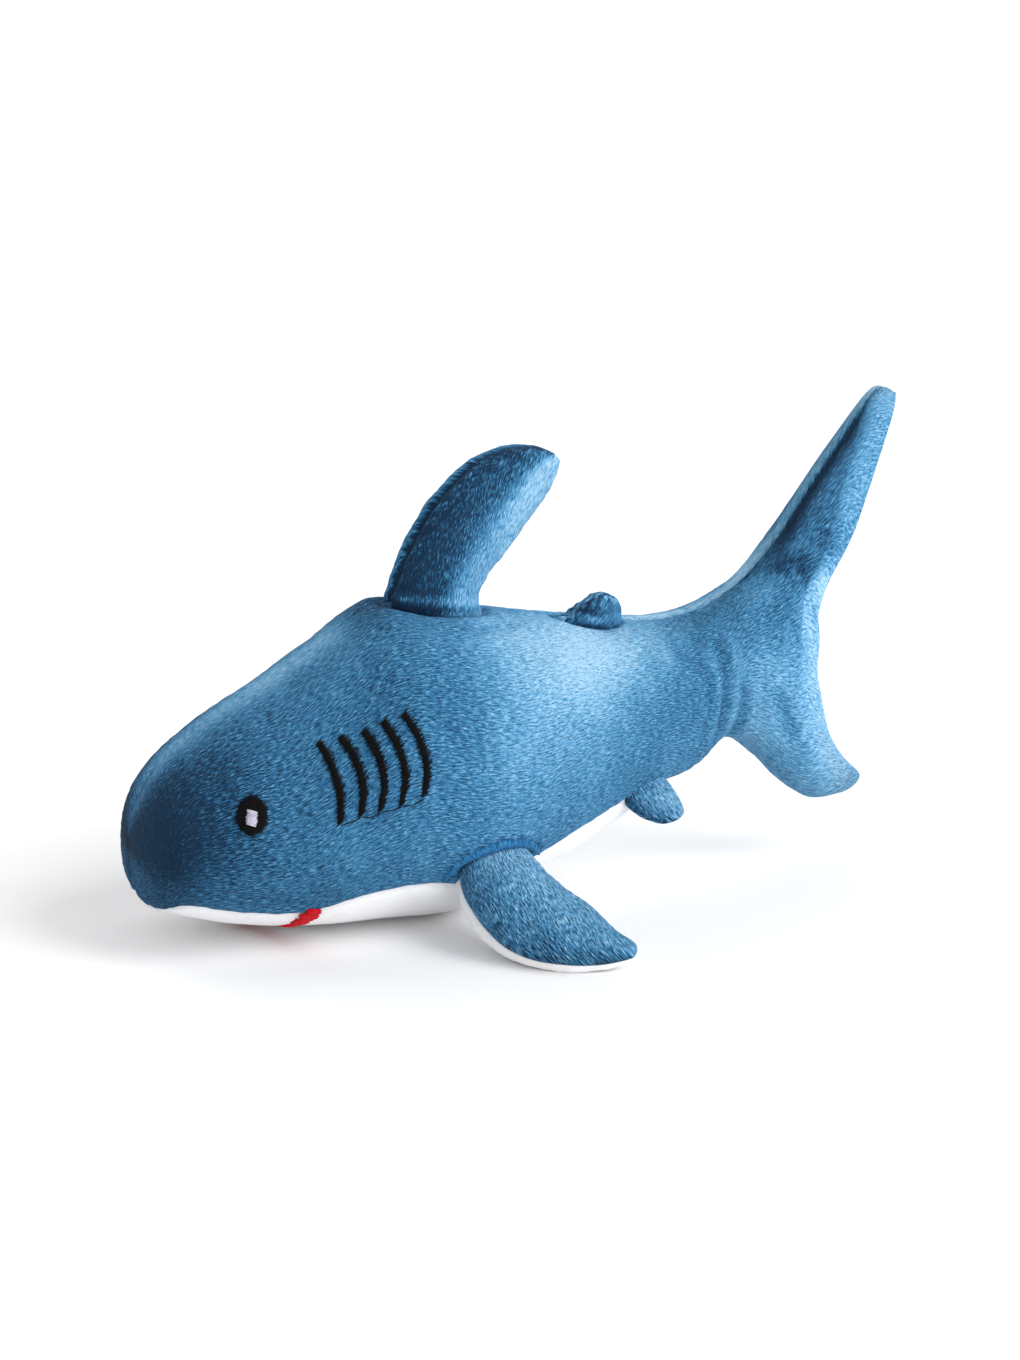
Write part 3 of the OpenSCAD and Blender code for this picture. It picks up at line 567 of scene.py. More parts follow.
def fin_surface(table, normal, face, mirror, rows=100, cols=60, fullness=0.66, seam=1.0, seed=0,
                roll=0.0, inset=0.0, shade=0.0, fluff=0.0, edge=-0.45, range_of=0.3, rise=0.0,
                comb=(0, 0, 1), collar=None):
    """One face of a fin as a grid, its outward normals, pile distances and tone.

    roll and inset move the leading seam onto the fin's first face, so the other face wraps round the edge.
    fluff is how ruffled the pile is beside the leading seam. shade is painted light (above 0) or painted
    shade (below 0) over the whole face; edge, range_of and rise are the painted light or shade of the
    seams, the rear half and the tip. comb is the way the pile is brushed. collar is the height above the
    body, the swell and the painted shade of the fold at the fin's foot.
    """
    s, t = np.meshgrid(1 - (1 - np.linspace(0, 1, rows)) ** 1.5, clustered(cols, 0.09), indexing="ij")
    r = fin_rows(table, s)
    lead, trail, half = r[..., 0:3], r[..., 3:6], np.maximum(r[..., 6:7], 0.02)
    f = fraction(t)[..., None]
    up = unit(np.asarray(normal, float))
    bulge = np.maximum(np.sin(np.pi * t), 0)[..., None] ** fullness
    q = np.clip((s - 0.82) / 0.18, 0, 1)[..., None]
    tip = np.maximum(np.sqrt(np.clip(1 - q * q, 0, 1)), 0.04)
    middle, reach = (lead + trail) / 2, (trail - lead) / 2 * tip
    lead, trail = middle - reach, middle + reach
    width = np.linalg.norm(trail - lead, axis=-1)
    across = unit(trail - lead)
    wraps = roll != 0 and (face > 0) == (roll > 0)
    turned = (smooth((s - 0.02) / 0.10) * (1 - 0.35 * smooth((s - 0.45) / 0.4)))[..., None] * tip
    lead = lead - up * roll * turned + across * inset * turned
    if roll > 0 and not wraps:
        half = half * (1 - 0.22 * (1 - f) ** 2)
    p = lead + (trail - lead) * f + up * face * half * bulge * tip
    if wraps:
        p = p - across * inset * 1.1 * turned * np.sin(np.pi * np.clip(t / 0.42, 0, 1))[..., None]
    mid = lead + (trail - lead) * 0.5
    n = outward(p, grid_normals(p), mid)
    edge_out = unit(p - mid)
    height = (half * bulge * tip)[..., 0]
    near_edge = bell(height, 1.1)[..., None]
    n = unit(n * (1 - 0.75 * near_edge) + edge_out * 0.75 * near_edge)
    from_seam = arc(p, 1)
    soft = 0.30 * lumps(p, 24, seed + 20) + 0.13 * lumps(p, 9, seed + 21)
    soft = soft + 0.10 * lumps(p, 2.6, seed + 23, 14)
    ruffled = fluff * bell(from_seam - 3.6, 4.2) * smooth((s - 0.10) / 0.1) * (not wraps)
    soft = soft + ruffled * 0.30 * lumps(p, 3.2, seed + 22)
    p = p + n * (soft * np.clip(height / 4, 0, 1))[..., None]
    wide = 1.7 if roll > 0 else 1.2
    groove = seam * bell(height, wide) * np.clip(width / 9, 0.1, 1)
    p = p - edge_out * groove[..., None]
    p = p + up * face * SEAM_GAP
    # Painted shade (edge below 0) or painted light (edge above 0) along the seams
    tone = edge * bell(height, wide) * np.clip(width / 9, 0.1, 1)
    if roll > 0:
        tone = tone * (1 - 0.8 * smooth((f[..., 0] - 0.2) / 0.5))
    # Painted light or shade over the face and towards the tip, with random variation
    tone = tone + shade + rise * (s - 0.4) + 0.09 * lumps(p, 14, seed + 50) + 0.07 * lumps(p, 6, seed + 51)
    tone = tone + ruffled * 0.80 * lumps(p * [1.0, 1.0, 0.6], 1.9, seed + 52)
    # Painted shade beside the leading seam and painted light over the rear half; on the wrapped face,
    # painted light on the turned strip
    if not wraps:
        tone = tone - 0.55 * (1 - smooth(f[..., 0] / 0.45)) + range_of * smooth((f[..., 0] - 0.36) / 0.36)
    else:
        tone = tone + 1.10 * (1 - smooth(f[..., 0] / 0.25))
    if collar is not None:
        level, swell, dark = collar
        foot = p[..., 2] - level(p)
        front = 1 - 0.85 * smooth((t - 0.35) / 0.35)
        if face > 0:
            front = front * smooth((t - 0.15) / 0.2)
        rear = smooth((t - 0.55) / 0.30)
        p = p + n * (swell * front * bell(foot - 2.2, 1.5))[..., None]
        p = p + n * (0.7 * swell * rear * np.exp(-np.maximum(foot, 0) / 1.6))[..., None]
        # Painted highlight on the collar's swell, painted shade in the fold at the foot and just above the
        # swell
        tone = tone + 0.85 * front * bell(foot - 2.6, 1.3)
        tone = tone - dark * (1 - 0.6 * rear) * bell(foot - 0.1, 0.9)
        tone = tone - 0.45 * front * bell(foot - 5.2, 1.0)
    nap = unit(np.asarray(comb, float))
    over = np.where(t < 0.5, height, 2 * height.max(axis=1, keepdims=True) - height)
    uv = np.stack([p @ nap, p @ unit(np.cross(up, nap)) + over], -1)
    if mirror:
        p = p * [1, -1, 1]
        n = n * [1, -1, 1]
    return p, n, uv, tone


def fin_panel(name, table, normal, face, mirror=False, thickness=0.9, **kw):
    p, n, uv, tone = fin_surface(table, normal, face, mirror, **kw)
    p[..., 2] = np.maximum(p[..., 2], 0.02)
    return cloth_panel(name, p, n, thickness, uv, tone)


def fin_filling(name, table, normal, mirror=False, shrink=0.6, s0=0.22, s1=0.88, seed=0):
    """The loose fibre inside a fin: a lumpy closed shape well inside the cloth."""
    s, t = np.meshgrid(np.linspace(s0, s1, 26), np.linspace(0, 1, 15), indexing="ij")
    r = fin_rows(table, s)
    lead, trail, half = r[..., 0:3], r[..., 3:6], np.maximum(r[..., 6:7], 0.1)
    mid = (lead + trail) / 2
    lead, trail = mid + (lead - mid) * shrink, mid + (trail - mid) * shrink
    f = fraction(t)[..., None]
    up = unit(np.asarray(normal, float))
    ends = np.sqrt(np.clip(np.sin(np.pi * (s - s0) / (s1 - s0)), 0, 1))[..., None]
    bulge = np.maximum(np.sin(np.pi * t), 0)[..., None] ** 0.8 * ends
    base = lead + (trail - lead) * f
    sides = [base + up * face * (half * shrink * bulge + 0.05) for face in (1, -1)]
    return filling_mesh(name, sides[0], sides[1], mirror, seed)


def filling_mesh(name, a, b, mirror, seed, size=0.35):
    """Closes two facing grids into one body of fibre, with lumps of the given size in mm."""
    if mirror:
        a, b = a * [1, -1, 1], b * [1, -1, 1]
    m, w = a.shape[:2]
    pts = np.concatenate([a.reshape(-1, 3), b.reshape(-1, 3)])
    faces = [*grid_quads(m, w), *grid_quads(m, w, m * w, True), *grid_walls(m, w)]
    pts = pts + unit(pts - pts.mean(0)) * (size * lumps(pts, 5.0, seed + 40))[:, None]
    return mesh_object(name, to_frame(pts), faces, np.zeros((len(pts), 2)))


def body_filling(name, u0, u1, inset, seed):
    """The loose fibre inside the body or the tail, set in from the cloth and rounded at both ends."""
    u, v = np.meshgrid(np.linspace(u0, u1, 64), np.linspace(0, 1, 30), indexing="ij")
    sides = []
    for side in (-1, 1):
        p = body_surface(u, v, side, inset)
        q = np.clip((u - u0) / (u1 - u0), 0, 1)
        ends = np.sqrt(np.clip(1 - np.abs(2 * q - 1) ** 10, 0, 1))[..., None]
        spine = body_surface(u, 0.5, side, inset) * [1, 0, 1]
        p = spine + (p - spine) * (0.04 + 0.96 * ends)
        p[..., 1] += side * 0.15
        sides.append(p)
    return filling_mesh(name, sides[0], sides[1], False, seed, size=0.7)


# ---- materials
def nodes_of(name):
    mat = bpy.data.materials.new(name)
    mat.use_nodes = True
    tree = mat.node_tree
    tree.nodes.clear()
    out = tree.nodes.new("ShaderNodeOutputMaterial")
    shader = tree.nodes.new("ShaderNodeBsdfPrincipled")
    tree.links.new(shader.outputs["BSDF"], out.inputs["Surface"])
    return mat, tree, shader


def mapped(tree, source, scale):
    """Texture coordinates along the pile ("pile") or in the object's metres ("object")."""
    if source == "pile":
        coord = tree.nodes.new("ShaderNodeUVMap")
        coord.uv_map = "pile"
        vector = coord.outputs["UV"]
    else:
        vector = tree.nodes.new("ShaderNodeTexCoord").outputs["Object"]
    m = tree.nodes.new("ShaderNodeMapping")
    m.inputs["Scale"].default_value = scale
    tree.links.new(vector, m.inputs["Vector"])
    return m.outputs["Vector"]


def noise(tree, vector, scale, detail=3.0, rough=0.5, distort=0.0):
    n = tree.nodes.new("ShaderNodeTexNoise")
    n.inputs["Scale"].default_value = scale
    n.inputs["Detail"].default_value = detail
    n.inputs["Roughness"].default_value = rough
    n.inputs["Distortion"].default_value = distort
    tree.links.new(vector, n.inputs["Vector"])
    return n.outputs["Fac"]


def ramp(tree, fac, stops):
    r = tree.nodes.new("ShaderNodeValToRGB")
    els = r.color_ramp.elements
    while len(els) < len(stops):
        els.new(0.5)
    for e, (pos, col) in zip(els, stops):
        e.position = pos
        e.color = (*col, 1)
    tree.links.new(fac, r.inputs["Fac"])
    return r.outputs["Color"]


def math_node(tree, op, a, b):
    m = tree.nodes.new("ShaderNodeMath")
    m.operation = op
    for i, x in enumerate((a, b)):
        if isinstance(x, (int, float)):
            m.inputs[i].default_value = x
        else:
            tree.links.new(x, m.inputs[i])
    return m.outputs[0]


def bump(tree, shader, heights):
    """Chained bumps, each a height and its depth in metres."""
    last = None
    for height, depth in heights:
        b = tree.nodes.new("ShaderNodeBump")
        b.inputs["Distance"].default_value = depth
        b.inputs["Strength"].default_value = 1.0
        tree.links.new(height, b.inputs["Height"])
        if last is not None:
            tree.links.new(last, b.inputs["Normal"])
        last = b.outputs["Normal"]
    tree.links.new(last, shader.inputs["Normal"])


def pile_material(name, stops, sheen, sheen_tint, grain=1.0, depth=1.0):
    """Short combed pile: fine flecks along the nap, small tufts, and the tone attribute, which carries
    painted light and shade, with some random variation, into the colour.
    """
    mat, tree, shader = nodes_of(name)
    layers = [(noise(tree, mapped(tree, "pile", (430, 2000, 1)), 1.0, 1, 0.6, 0.12), 0.90, 0.0005),
              (noise(tree, mapped(tree, "pile", (900, 3600, 1)), 1.0, 1, 0.5, 0.2), 0.55, 0.0003),
              (noise(tree, mapped(tree, "object", (45, 45, 45)), 1.0, 2, 0.5, 0.4), 0.08, 0.0006)]
    tone = tree.nodes.new("ShaderNodeAttribute")
    tone.attribute_name = "tone"
    mixed = math_node(tree, "MULTIPLY", tone.outputs["Fac"], 0.32)
    mixed = math_node(tree, "ADD", mixed, 0.5)
    gain = math_node(tree, "SUBTRACT", 1.0, math_node(tree, "MULTIPLY", tone.outputs["Fac"], 0.6))
    gain = math_node(tree, "MINIMUM", math_node(tree, "MAXIMUM", gain, 0.86), 1.45)
    for fac, share, _ in layers:
        fleck = math_node(tree, "MULTIPLY", math_node(tree, "SUBTRACT", fac, 0.5), share * grain)
        mixed = math_node(tree, "ADD", mixed, math_node(tree, "MULTIPLY", fleck, gain))
    colour = ramp(tree, mixed, stops)
    tree.links.new(colour, shader.inputs["Base Color"])
    shader.inputs["Roughness"].default_value = 0.9
    shader.inputs["Specular IOR Level"].default_value = 0.12
    shader.inputs["Sheen Weight"].default_value = sheen
    shader.inputs["Sheen Roughness"].default_value = 0.45
    shader.inputs["Sheen Tint"].default_value = (*sheen_tint, 1)
    bump(tree, shader, [(fac, height * depth) for fac, _, height in reversed(layers)])
    return mat


def thread_material(name, dark, light, rough=0.42, sheen=0.2, shine=0.45):
    """Rayon thread: twisted plies and a soft shine."""
    mat, tree, shader = nodes_of(name)
    base = noise(tree, mapped(tree, "object", (1, 1, 1)), 900, 2, 0.5)
    ply = tree.nodes.new("ShaderNodeTexWave")
    ply.wave_type = "BANDS"
    ply.bands_direction = "DIAGONAL"
    ply.inputs["Scale"].default_value = 1400
    ply.inputs["Distortion"].default_value = 2.0
    tree.links.new(mapped(tree, "object", (1, 1, 1)), ply.inputs["Vector"])
    tree.links.new(ramp(tree, base, [(0.35, dark), (0.7, light)]), shader.inputs["Base Color"])
    shader.inputs["Roughness"].default_value = rough
    shader.inputs["Specular IOR Level"].default_value = shine
    shader.inputs["Sheen Weight"].default_value = sheen
    bump(tree, shader, [(ply.outputs["Fac"], 0.00008), (base, 0.00006)])
    return mat


def fibre_material(name):
    mat, tree, shader = nodes_of(name)
    wisps = noise(tree, mapped(tree, "object", (1, 1, 1)), 380, 6, 0.7, 1.6)
    puff = noise(tree, mapped(tree, "object", (1, 1, 1)), 90, 3, 0.5)
    tree.links.new(ramp(tree, wisps, [(0.3, (0.78, 0.78, 0.76)), (0.7, (0.97, 0.97, 0.95))]),
                   shader.inputs["Base Color"])
    shader.inputs["Roughness"].default_value = 1.0
    shader.inputs["Sheen Weight"].default_value = 0.5
    bump(tree, shader, [(puff, 0.003), (wisps, 0.001)])
    return mat


# The blue pile from its darkest to its lightest colour; the tone moves along it, so the low stops carry
# painted shade and the high stops painted light
BLUES = [(0.08, (0.006, 0.030, 0.070)), (0.30, (0.019, 0.092, 0.200)), (0.52, (0.038, 0.176, 0.345)),
         (0.76, (0.130, 0.360, 0.590)), (1.00, (0.340, 0.570, 0.770))]
BLUE = pile_material("pile_blue", BLUES, 0.08, (0.45, 0.72, 1.0), 1.3)
RUFFLED = pile_material("pile_ruffled", BLUES, 0.08, (0.45, 0.72, 1.0), 1.9, 1.3)
# A darker copy of the blue pile, for the rolled bands over the side fins
BAND_BLUE = pile_material("pile_blue_band", [(0.10, (0.004, 0.035, 0.095)), (0.50, (0.014, 0.125, 0.300)),
                                       (0.90, (0.080, 0.310, 0.570))], 0.15, (0.45, 0.72, 1.0), 1.2)
WHITE = pile_material("pile_white", [(0.10, (0.70, 0.70, 0.74)), (0.45, (0.90, 0.90, 0.92)),
                                     (0.80, (0.95, 0.95, 0.96))], 0.15, (1.0, 1.0, 1.0), 0.6, 0.4)
BLACK = thread_material("thread_black", (0.002, 0.002, 0.0025), (0.006, 0.006, 0.007), 0.6, 0.0, 0.12)
LILAC = thread_material("thread_lilac", (0.50, 0.47, 0.62), (0.74, 0.70, 0.86))
RED = thread_material("thread_red", (0.50, 0.001, 0.006), (0.74, 0.004, 0.016), 0.6, 0.0, 0.15)
BLUE_THREAD = thread_material("sewing_blue", (0.03, 0.09, 0.2), (0.06, 0.16, 0.33))
WHITE_THREAD = thread_material("sewing_white", (0.6, 0.6, 0.6), (0.8, 0.8, 0.8))
FIBRE = fibre_material("fibre")


def dress(ob, mat):
    ob.data.materials.clear()
    ob.data.materials.append(mat)
    return ob


for word, side in (("left", -1), ("right", 1)):
    skin = dress(body_skin(f"{word}_body_skin", side), BLUE)
    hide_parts(f"{word}_side_panel", f"{word}_tail_panel")
    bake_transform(skin)

belly = dress(belly_skin("belly_skin"), WHITE)
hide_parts("belly_panel")
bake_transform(belly)

filling = dress(body_filling("body_fibre", 0.35, 11.2, 4.5, 1), FIBRE)
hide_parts("body_stuffing")
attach(filling, "body")
filling = dress(body_filling("tail_fibre", 13.2, 16.9, 4.4, 2), FIBRE)
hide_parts("tail_stuffing")
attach(filling, "tail")


def joint_place(name):
    return Vector(next(q for q in frame["joints"] if q["name"] == name)["pos_m"])


def fin_set(prefix, joint, body, table, normal, out, reach, faces, mirror=False, fill=0.6,
            fill_from=0.22, **kw):
    """The two cloth faces and the filling of one fin.

    normal is across the cloth and out is away from the body, reach is not used, and each of faces is its
    side, name, material and slot; the slot is not used.
    """
    pos, out = joint_place(joint), Vector(out).normalized()
    for face, word, mat, slot in faces:
        ob = dress(fin_panel(f"{prefix}_{word}_skin", table, normal, face, mirror, **kw), mat)
        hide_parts(f"{prefix}_{word}_panel")
        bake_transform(ob)
    ob = fin_filling(f"{prefix}_fibre", table, normal, mirror, fill, fill_from, seed=len(prefix))
    dress(ob, FIBRE)
    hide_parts(f"{prefix}_stuffing")
    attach(ob, body)


def dorsal_level(p):
    """Height of the back at the back fin's foot."""
    return np.interp(p[..., 0], [70, 78, 96, 114], [93.0, 94.8, 92.8, 90.6])


def second_level(p):
    """Height of the back at the second back fin's foot."""
    return np.interp(p[..., 0], [130, 158], [84.6, 81.0])


BACK_FIN_FACES = ((-1, "left", BLUE, "blue_pile"), (1, "right", BLUE, "blue_pile"))
fin_set("dorsal_fin", "dorsal_fin_flop", "dorsal_fin", DORSAL, (0, 1, 0), (0.15, 0, 1), (0.008, 0.010),
        BACK_FIN_FACES, seam=1.5, seed=1, roll=2.6, inset=1.3, shade=-1.02, fluff=1.0, fill=0.52,
        edge=-2.2, range_of=1.9, rise=1.2, comb=(0.22, 0, 0.97), collar=(dorsal_level, 0.9, 0.9))
fin_set("second_dorsal", "second_dorsal_flop", "second_dorsal_fin", SECOND, (0, 1, 0), (0.13, 0, 1),
        (0.004, 0.004), BACK_FIN_FACES, rows=60, cols=44, seam=0.6, seed=2, thickness=0.6, shade=-0.45,
        fluff=1.2, edge=1.3, rise=1.0, fill=0.40, fill_from=0.58, comb=(0.5, 0, 0.87),
        collar=(second_level, 0.0, 1.2))
for word, m in (("left", -1), ("right", 1)):
    fin_set(f"{word}_pectoral", f"{word}_pectoral_flap", f"{word}_pectoral_fin", PECTORAL,
            (0, -0.40, 0.92), (0, m * 0.87, -0.49), (0.007, 0.010),
            ((1, "upper", RUFFLED, "blue_pile"), (-1, "lower", WHITE, "white_pile")), m > 0,
            seam=0.6, seed=3, shade=0.50, rise=-0.75, roll=-0.6, inset=0.6, comb=(0, -0.92, -0.40))
    fin_set(f"{word}_pelvic", f"{word}_pelvic_flap", f"{word}_pelvic_fin", PELVIC,
            (0.30, -0.70, 0.65), (0.2, m * 0.75, -0.62), (0.004, 0.004),
            ((1, "outer", RUFFLED, "blue_pile"), (-1, "inner", RUFFLED, "blue_pile")), m > 0,
            rows=50, cols=40, seam=0.5, seed=4, thickness=0.6, shade=0.45, comb=(0.2, -0.75, -0.62))


# ---- embroidery
def surface_frame(u, v, side):
    """A point on the body with its outward normal."""
    u, v = np.asarray(u, float), np.asarray(v, float)
    e = 0.01
    p = body_surface(u, v, side)
    du = body_surface(u + e, v, side) - body_surface(u - e, v, side)
    dv = body_surface(u, v + e, side) - body_surface(u, v - e, side)
    n = unit(np.cross(du, dv))
    centre = body_surface(u, 0.5 + 0 * v, side) * [1, 0, 1]
    return p, outward(p, n, centre)


def tube_faces(rows, around, first=0):
    """The sides and both ends of a tube of rings."""
    faces = []
    for i in range(rows - 1):
        for k in range(around):
            c, d = first + i * around + k, first + i * around + (k + 1) % around
            faces.append((c, d, d + around, c + around))
    last = first + (rows - 1) * around
    return faces + [tuple(range(first, first + around))[::-1], tuple(range(last, last + around))]


def stitches(name, spans, thick, rise, base, side, steps=6, around=6):
    """Satin stitches: each span is a pair of surface positions, made as one arched thread."""
    verts, faces = [], []
    for a, b in spans:
        t = np.linspace(0, 1, steps)
        q = np.array(a)[None, :] * (1 - t)[:, None] + np.array(b)[None, :] * t[:, None]
        p, n = surface_frame(q[:, 0], q[:, 1], side)
        lift = base + rise * np.sin(np.pi * t) ** 0.6
        p = p + n * lift[:, None]
        run = unit(np.gradient(p, axis=0))
        across = unit(np.cross(run, n))
        end = np.sqrt(np.clip(np.sin(np.pi * np.clip(t, 0.03, 0.97)), 0, 1)) * 0.5 + 0.5
        first = len(verts)
        for i in range(steps):
            for k in range(around):
                angle = 2 * np.pi * k / around
                ring = across[i] * math.cos(angle) + n[i] * math.sin(angle)
                verts.append(p[i] + ring * thick / 2 * end[i])
        faces += tube_faces(steps, around, first)
    return mesh_object(name, to_frame(np.array(verts)), faces, np.zeros((len(verts), 2)))


def patch_base(u, v, side, low, high):
    """The padding under satin stitches: a thin closed pad over a grid of surface positions."""
    p, n = surface_frame(u, v, side)
    m, w = p.shape[:2]
    dome = np.full((m, w), high)
    dome[0], dome[-1], dome[:, 0], dome[:, -1] = low, low, low, low
    top = p + n * dome[..., None]
    return cloth_panel("pad", top, n, 0.5, np.stack([arc(p, 0), arc(p, 1)], -1))


def join(name, parts):
    """Joins closed pieces of one embroidered motif into one object."""
    verts, faces, n = [], [], 0
    for o in parts:
        verts += [tuple(v.co) for v in o.data.vertices]
        faces += [tuple(i + n for i in f.vertices) for f in o.data.polygons]
        n += len(o.data.vertices)
        me = o.data
        bpy.data.objects.remove(o)
        bpy.data.meshes.remove(me)
    return mesh_object(name, verts, faces, np.zeros((len(verts), 2)))


def spot(at, along, down, a, b):
    """The surface position a along and b down from a motif's middle."""
    return at[0] + a * along[0] + b * down[0], at[1] + a * along[1] + b * down[1]


def oval_spans(at, along, down, pitch, jitter, seed):
    """Stitch spans that fill an oval, straight across it and ragged at the ends."""
    r = np.random.default_rng(seed)
    count = int(round(2 / pitch))
    spans = []
    for i in range(count):
        b = -1 + (i + 0.5) * 2 / count
        half = math.sqrt(max(1 - b * b, 0.02))
        a0, a1 = -half + r.uniform(-jitter, jitter), half + r.uniform(-jitter, jitter)
        tilt = r.uniform(-0.01, 0.01)
        spans.append(tuple(spot(at, along, down, a, b + tilt * a) for a in (a0, a1)))
    return spans


def oval_grid(at, along, down, size, count=18):
    a = np.linspace(-1, 1, count)
    a, b = np.meshgrid(a, a, indexing="ij")
    return spot(at, along, down, a * np.sqrt(1 - b * b / 2) * size, b * np.sqrt(1 - a * a / 2) * size)


def gill_curve(g, t):
    before, after = 2 * GILLS[g][0] - GILLS[g][1], 2 * GILLS[g][3] - GILLS[g][2]
    return spline_rows(GILLS[g], np.asarray(t, float) * 3, before, after)


def eye_patch(name, side):
    """The black oval, as straight satin stitches over a pad."""
    u, v = oval_grid(EYE, EYE_ALONG, EYE_DOWN, 0.92)
    base = patch_base(u, v, side, 0.05, 0.45)
    spans = oval_spans(EYE, EYE_ALONG, EYE_DOWN, 0.072, 0.10, 5)
    return join(name, [base, stitches("threads", spans, SATIN, SATIN_RISE, 0.30, side)])


def eye_light(name, side):
    """The pale highlight, a small leaning square on top of the black."""
    a = np.linspace(-0.85, 0.85, 8)
    u, v = spot(LIGHT, LIGHT_ALONG, LIGHT_DOWN, *np.meshgrid(a, a, indexing="ij"))
    base = patch_base(u, v, side, 0.7, 0.95)
    r = np.random.default_rng(6)
    spans = []
    for b in np.linspace(-1, 1, 11):
        ends = -0.95 + r.uniform(-0.12, 0.12), 0.95 + r.uniform(-0.12, 0.12)
        spans.append(tuple(spot(LIGHT, LIGHT_ALONG, LIGHT_DOWN, a, b + 0.35 * a) for a in ends))
    return join(name, [base, stitches("threads", spans, 0.40, 0.26, 0.88, side)])


def gill_bars(name, side):
    """Five curved bars of short satin stitches, ragged along both edges."""
    r = np.random.default_rng(31)
    spans, bases = [], []
    for g in range(len(GILLS)):
        for i in range(BAR_STITCHES):
            t = (i + 0.5) / BAR_STITCHES
            q = gill_curve(g, np.array([t]))[0]
            half = 0.062 * (0.70 + 0.30 * min(1, 5 * t, 5 * (1 - t)))
            a, b = half * r.uniform(0.85, 1.45), half * r.uniform(0.95, 1.85)
            lean = 0.0030 + r.uniform(-0.0015, 0.0015)
            spans.append(((q[0] - a, q[1] + lean), (q[0] + b, q[1] - lean)))
        q = gill_curve(g, np.linspace(0.01, 0.99, 30))
        off = np.array([-0.046, 0.0, 0.046])
        u, v = q[:, :1] + off[None, :], q[:, 1:] + 0 * off[None, :]
        bases.append(patch_base(u, v, side, 0.05, 0.35))
    return join(name, [*bases, stitches("threads", spans, SATIN, SATIN_RISE, 0.18, side)])


def gill_travel(name, side):
    """The thread that runs from the foot of each bar to the next, sagging a little."""
    runs = []
    for g in range(len(GILLS) - 1):
        a = GILLS[g][3] + [0.01, 0.003]
        b = GILLS[g + 1][3] + [-0.01, 0.004]
        m = (a + b) / 2 + [0.0, 0.005 if g % 2 else 0.001]
        runs += [(tuple(a), tuple(m)), (tuple(m), tuple(b))]
    return stitches(name, runs, 0.36, 0.10, 0.35, side, steps=8)


for word, side in (("left", -1), ("right", 1)):
    for piece, make, node, mat, slot in (
            ("eye_black", eye_patch, "eye_patch", BLACK, "black_thread"),
            ("eye_light", eye_light, "eye_highlight", LILAC, "lilac_thread"),
            ("gill_bars", gill_bars, "gill_stitches", BLACK, "black_thread"),
            ("gill_travel", gill_travel, "gill_thread", BLACK, "black_thread")):
        ob = dress(make(f"{word}_{piece}", side), mat)
        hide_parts(f"{word}_{node}")
        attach(ob, "body")


def mouth_line(t):
    a = np.abs(t)
    return 3.46 + 0.76 * a ** 0.70, 1 - 0.338 * a ** 0.9


def mouth():
    """A red crescent of satin stitches, jagged where they end, and flatter under the chin."""
    r = np.random.default_rng(17)
    parts = []
    for side in (-1, 1):
        under, shown = [], []
        for i in range(MOUTH_STITCHES):
            t = (i + 0.5) / MOUTH_STITCHES
            u, v = mouth_line(t)
            wide = 0.115 + 0.025 * math.cos(7 * t) - 0.045 * smooth((t - 0.9) / 0.1)
            a, b = wide * r.uniform(0.70, 1.35), wide * r.uniform(0.70, 1.35)
            span = (u - a, min(v - a * 0.04, 1.0)), (u + b, min(v + b * 0.04, 1.0))
            (under if span[0][1] > 0.80 else shown).append(span)
        parts.append(stitches("threads", under, 0.62, 0.10, -0.10, side, steps=7))
        parts.append(stitches("threads", shown, 0.62, 0.22, 0.12, side, steps=7))
        t, j = np.meshgrid(np.linspace(0, 0.97, 40), np.linspace(-1, 1, 5), indexing="ij")
        u, v = mouth_line(t)
        u, v = u + j * 0.085, np.minimum(v + j * 0.003, 0.9995)
        parts.append(patch_base(u, v, side, 0.02, 0.1))
    return join("mouth_red", parts)


red = dress(mouth(), RED)
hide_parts("mouth_patch")
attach(red, "body")


# ---- rolled edges over the side fins
def rolled_band(name, line, side, radius, rows=70, around=16):
    """A roll of cloth along a line on the body, tapering away at both ends."""
    before, after = 2 * line[0] - line[1], 2 * line[-1] - line[-2]
    t = np.linspace(0, 1, rows)
    q = spline_rows(line, t * (len(line) - 1), before, after)
    p, n = surface_frame(q[:, 0], q[:, 1], side)
    across = unit(np.cross(np.gradient(p, axis=0), n))
    size = radius * np.sqrt(np.clip(1 - np.abs(2 * t - 1) ** 3, 0.03, 1)) * (1 + 0.06 * lumps(p, 7, 71))
    a = np.linspace(0, 2 * np.pi, around, endpoint=False)
    ring = across[:, None] * np.cos(a)[None, :, None] + 0.95 * n[:, None] * np.sin(a)[None, :, None]
    pts = p[:, None] - n[:, None] * 0.15 + ring * size[:, None, None]
    run = np.r_[0, np.cumsum(np.linalg.norm(np.diff(p, axis=0), axis=1))]
    uv = np.stack(np.broadcast_arrays(np.abs(a - np.pi)[None, :] * radius, run[:, None]), -1)
    # Painted light on the outer side of the roll and painted shade on the side against the body
    tone = np.broadcast_to(0.25 * np.sin(a)[None, :] - 0.1, uv.shape[:2])
    return mesh_object(name, to_frame(pts.reshape(-1, 3)), tube_faces(rows, around),
                       uv.reshape(-1, 2) * METRES, tone=tone.ravel())


for word, side in (("left", -1), ("right", 1)):
    band = dress(rolled_band(f"{word}_pectoral_band", PECTORAL_ARC, side, 1.6), BAND_BLUE)
    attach(band, "body")

# The seam threads stay as imported from model.glb, inside the toy, with a thread material.
for node_name, mat in (("dorsal_seam_thread", BLUE_THREAD), ("tail_seam_thread", BLUE_THREAD),
                       ("left_belly_seam_thread", WHITE_THREAD),
                       ("right_belly_seam_thread", WHITE_THREAD)):
    frame["nodes"][node_name].data.materials.clear()
    frame["nodes"][node_name].data.materials.append(mat)

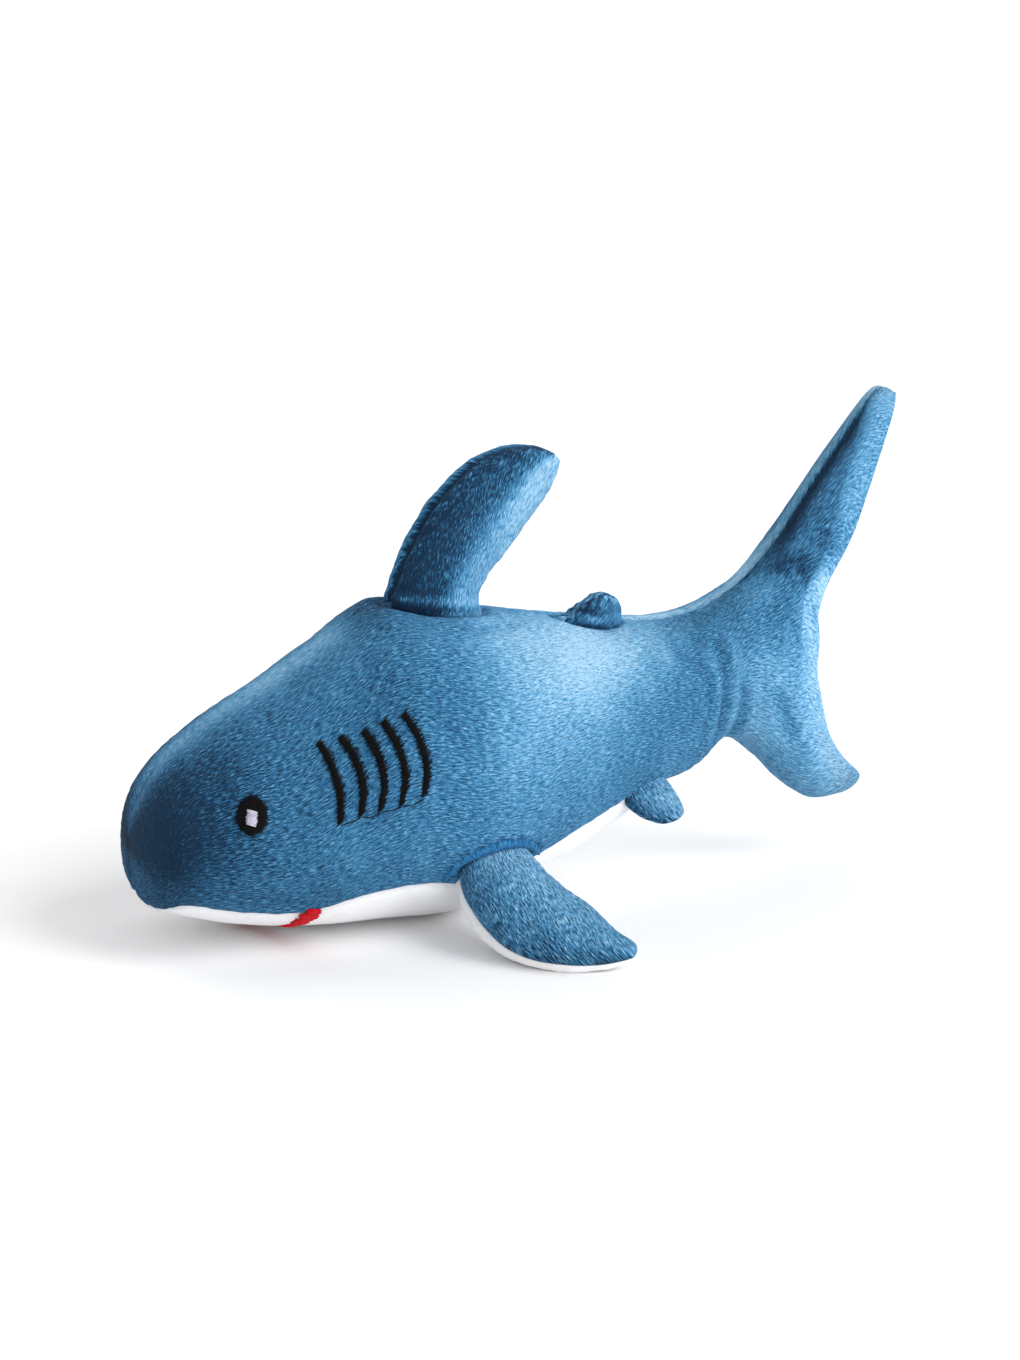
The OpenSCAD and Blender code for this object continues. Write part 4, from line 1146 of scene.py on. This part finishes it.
# ---- studio
FLOOR_REACH = 60
corners = [(x * FLOOR_REACH, y * FLOOR_REACH, 0) for x, y in ((-1, -1), (1, -1), (1, 1), (-1, 1))]
floor = mesh_object("floor", corners, [(0, 1, 2, 3)], smooth_shade=False)
mat, tree, shader = nodes_of("floor")
grain = noise(tree, mapped(tree, "object", (1, 1, 1)), 30, 2)
tree.links.new(ramp(tree, grain, [(0.3, (0.94, 0.94, 0.94)), (0.7, (0.96, 0.96, 0.96))]),
               shader.inputs["Base Color"])
shader.inputs["Roughness"].default_value = 0.9
floor.data.materials.append(mat)

world = bpy.data.worlds.new("studio")
bpy.context.scene.world = world
world.use_nodes = True
world.node_tree.nodes["Background"].inputs["Color"].default_value = (1, 1, 1, 1)
world.node_tree.nodes["Background"].inputs["Strength"].default_value = 0.60


def soft_sun(name, place, strength, spread):
    data = bpy.data.lights.new(name, "SUN")
    data.energy = strength
    data.angle = math.radians(spread)
    ob = bpy.data.objects.new(name, data)
    ob.location = place
    ob.rotation_mode = "QUATERNION"
    ob.rotation_quaternion = (-Vector(place)).to_track_quat("-Z", "Y")
    bpy.context.scene.collection.objects.link(ob)


soft_sun("key", (1.1, -0.75, 1.0), 1.9, 40)
soft_sun("fill", (0.5, -0.95, 0.06), 1.45, 50)
soft_sun("back", (0.1, 1.0, 1.1), 0.9, 60)

# A long lens, 22 degrees round from the toy's left side and 15 degrees above the table
camera = bpy.data.cameras.new("camera")
camera.sensor_width = 36
camera.lens = 78.0803
cam = bpy.data.objects.new("camera", camera)
azimuth, elevation, distance = math.radians(-22), math.radians(15), 0.891 * SCALE
target = Vector((NOSE_X + 0.1199 * SCALE, 0, 0.0668 * SCALE))
back = Vector((math.sin(azimuth) * math.cos(elevation), -math.cos(azimuth) * math.cos(elevation),
               math.sin(elevation)))
cam.location = target + back * distance
cam.rotation_mode = "QUATERNION"
cam.rotation_quaternion = (-back).to_track_quat("-Z", "Y")
bpy.context.scene.collection.objects.link(cam)
bpy.context.scene.camera = cam
bpy.context.scene.view_settings.view_transform = "Standard"
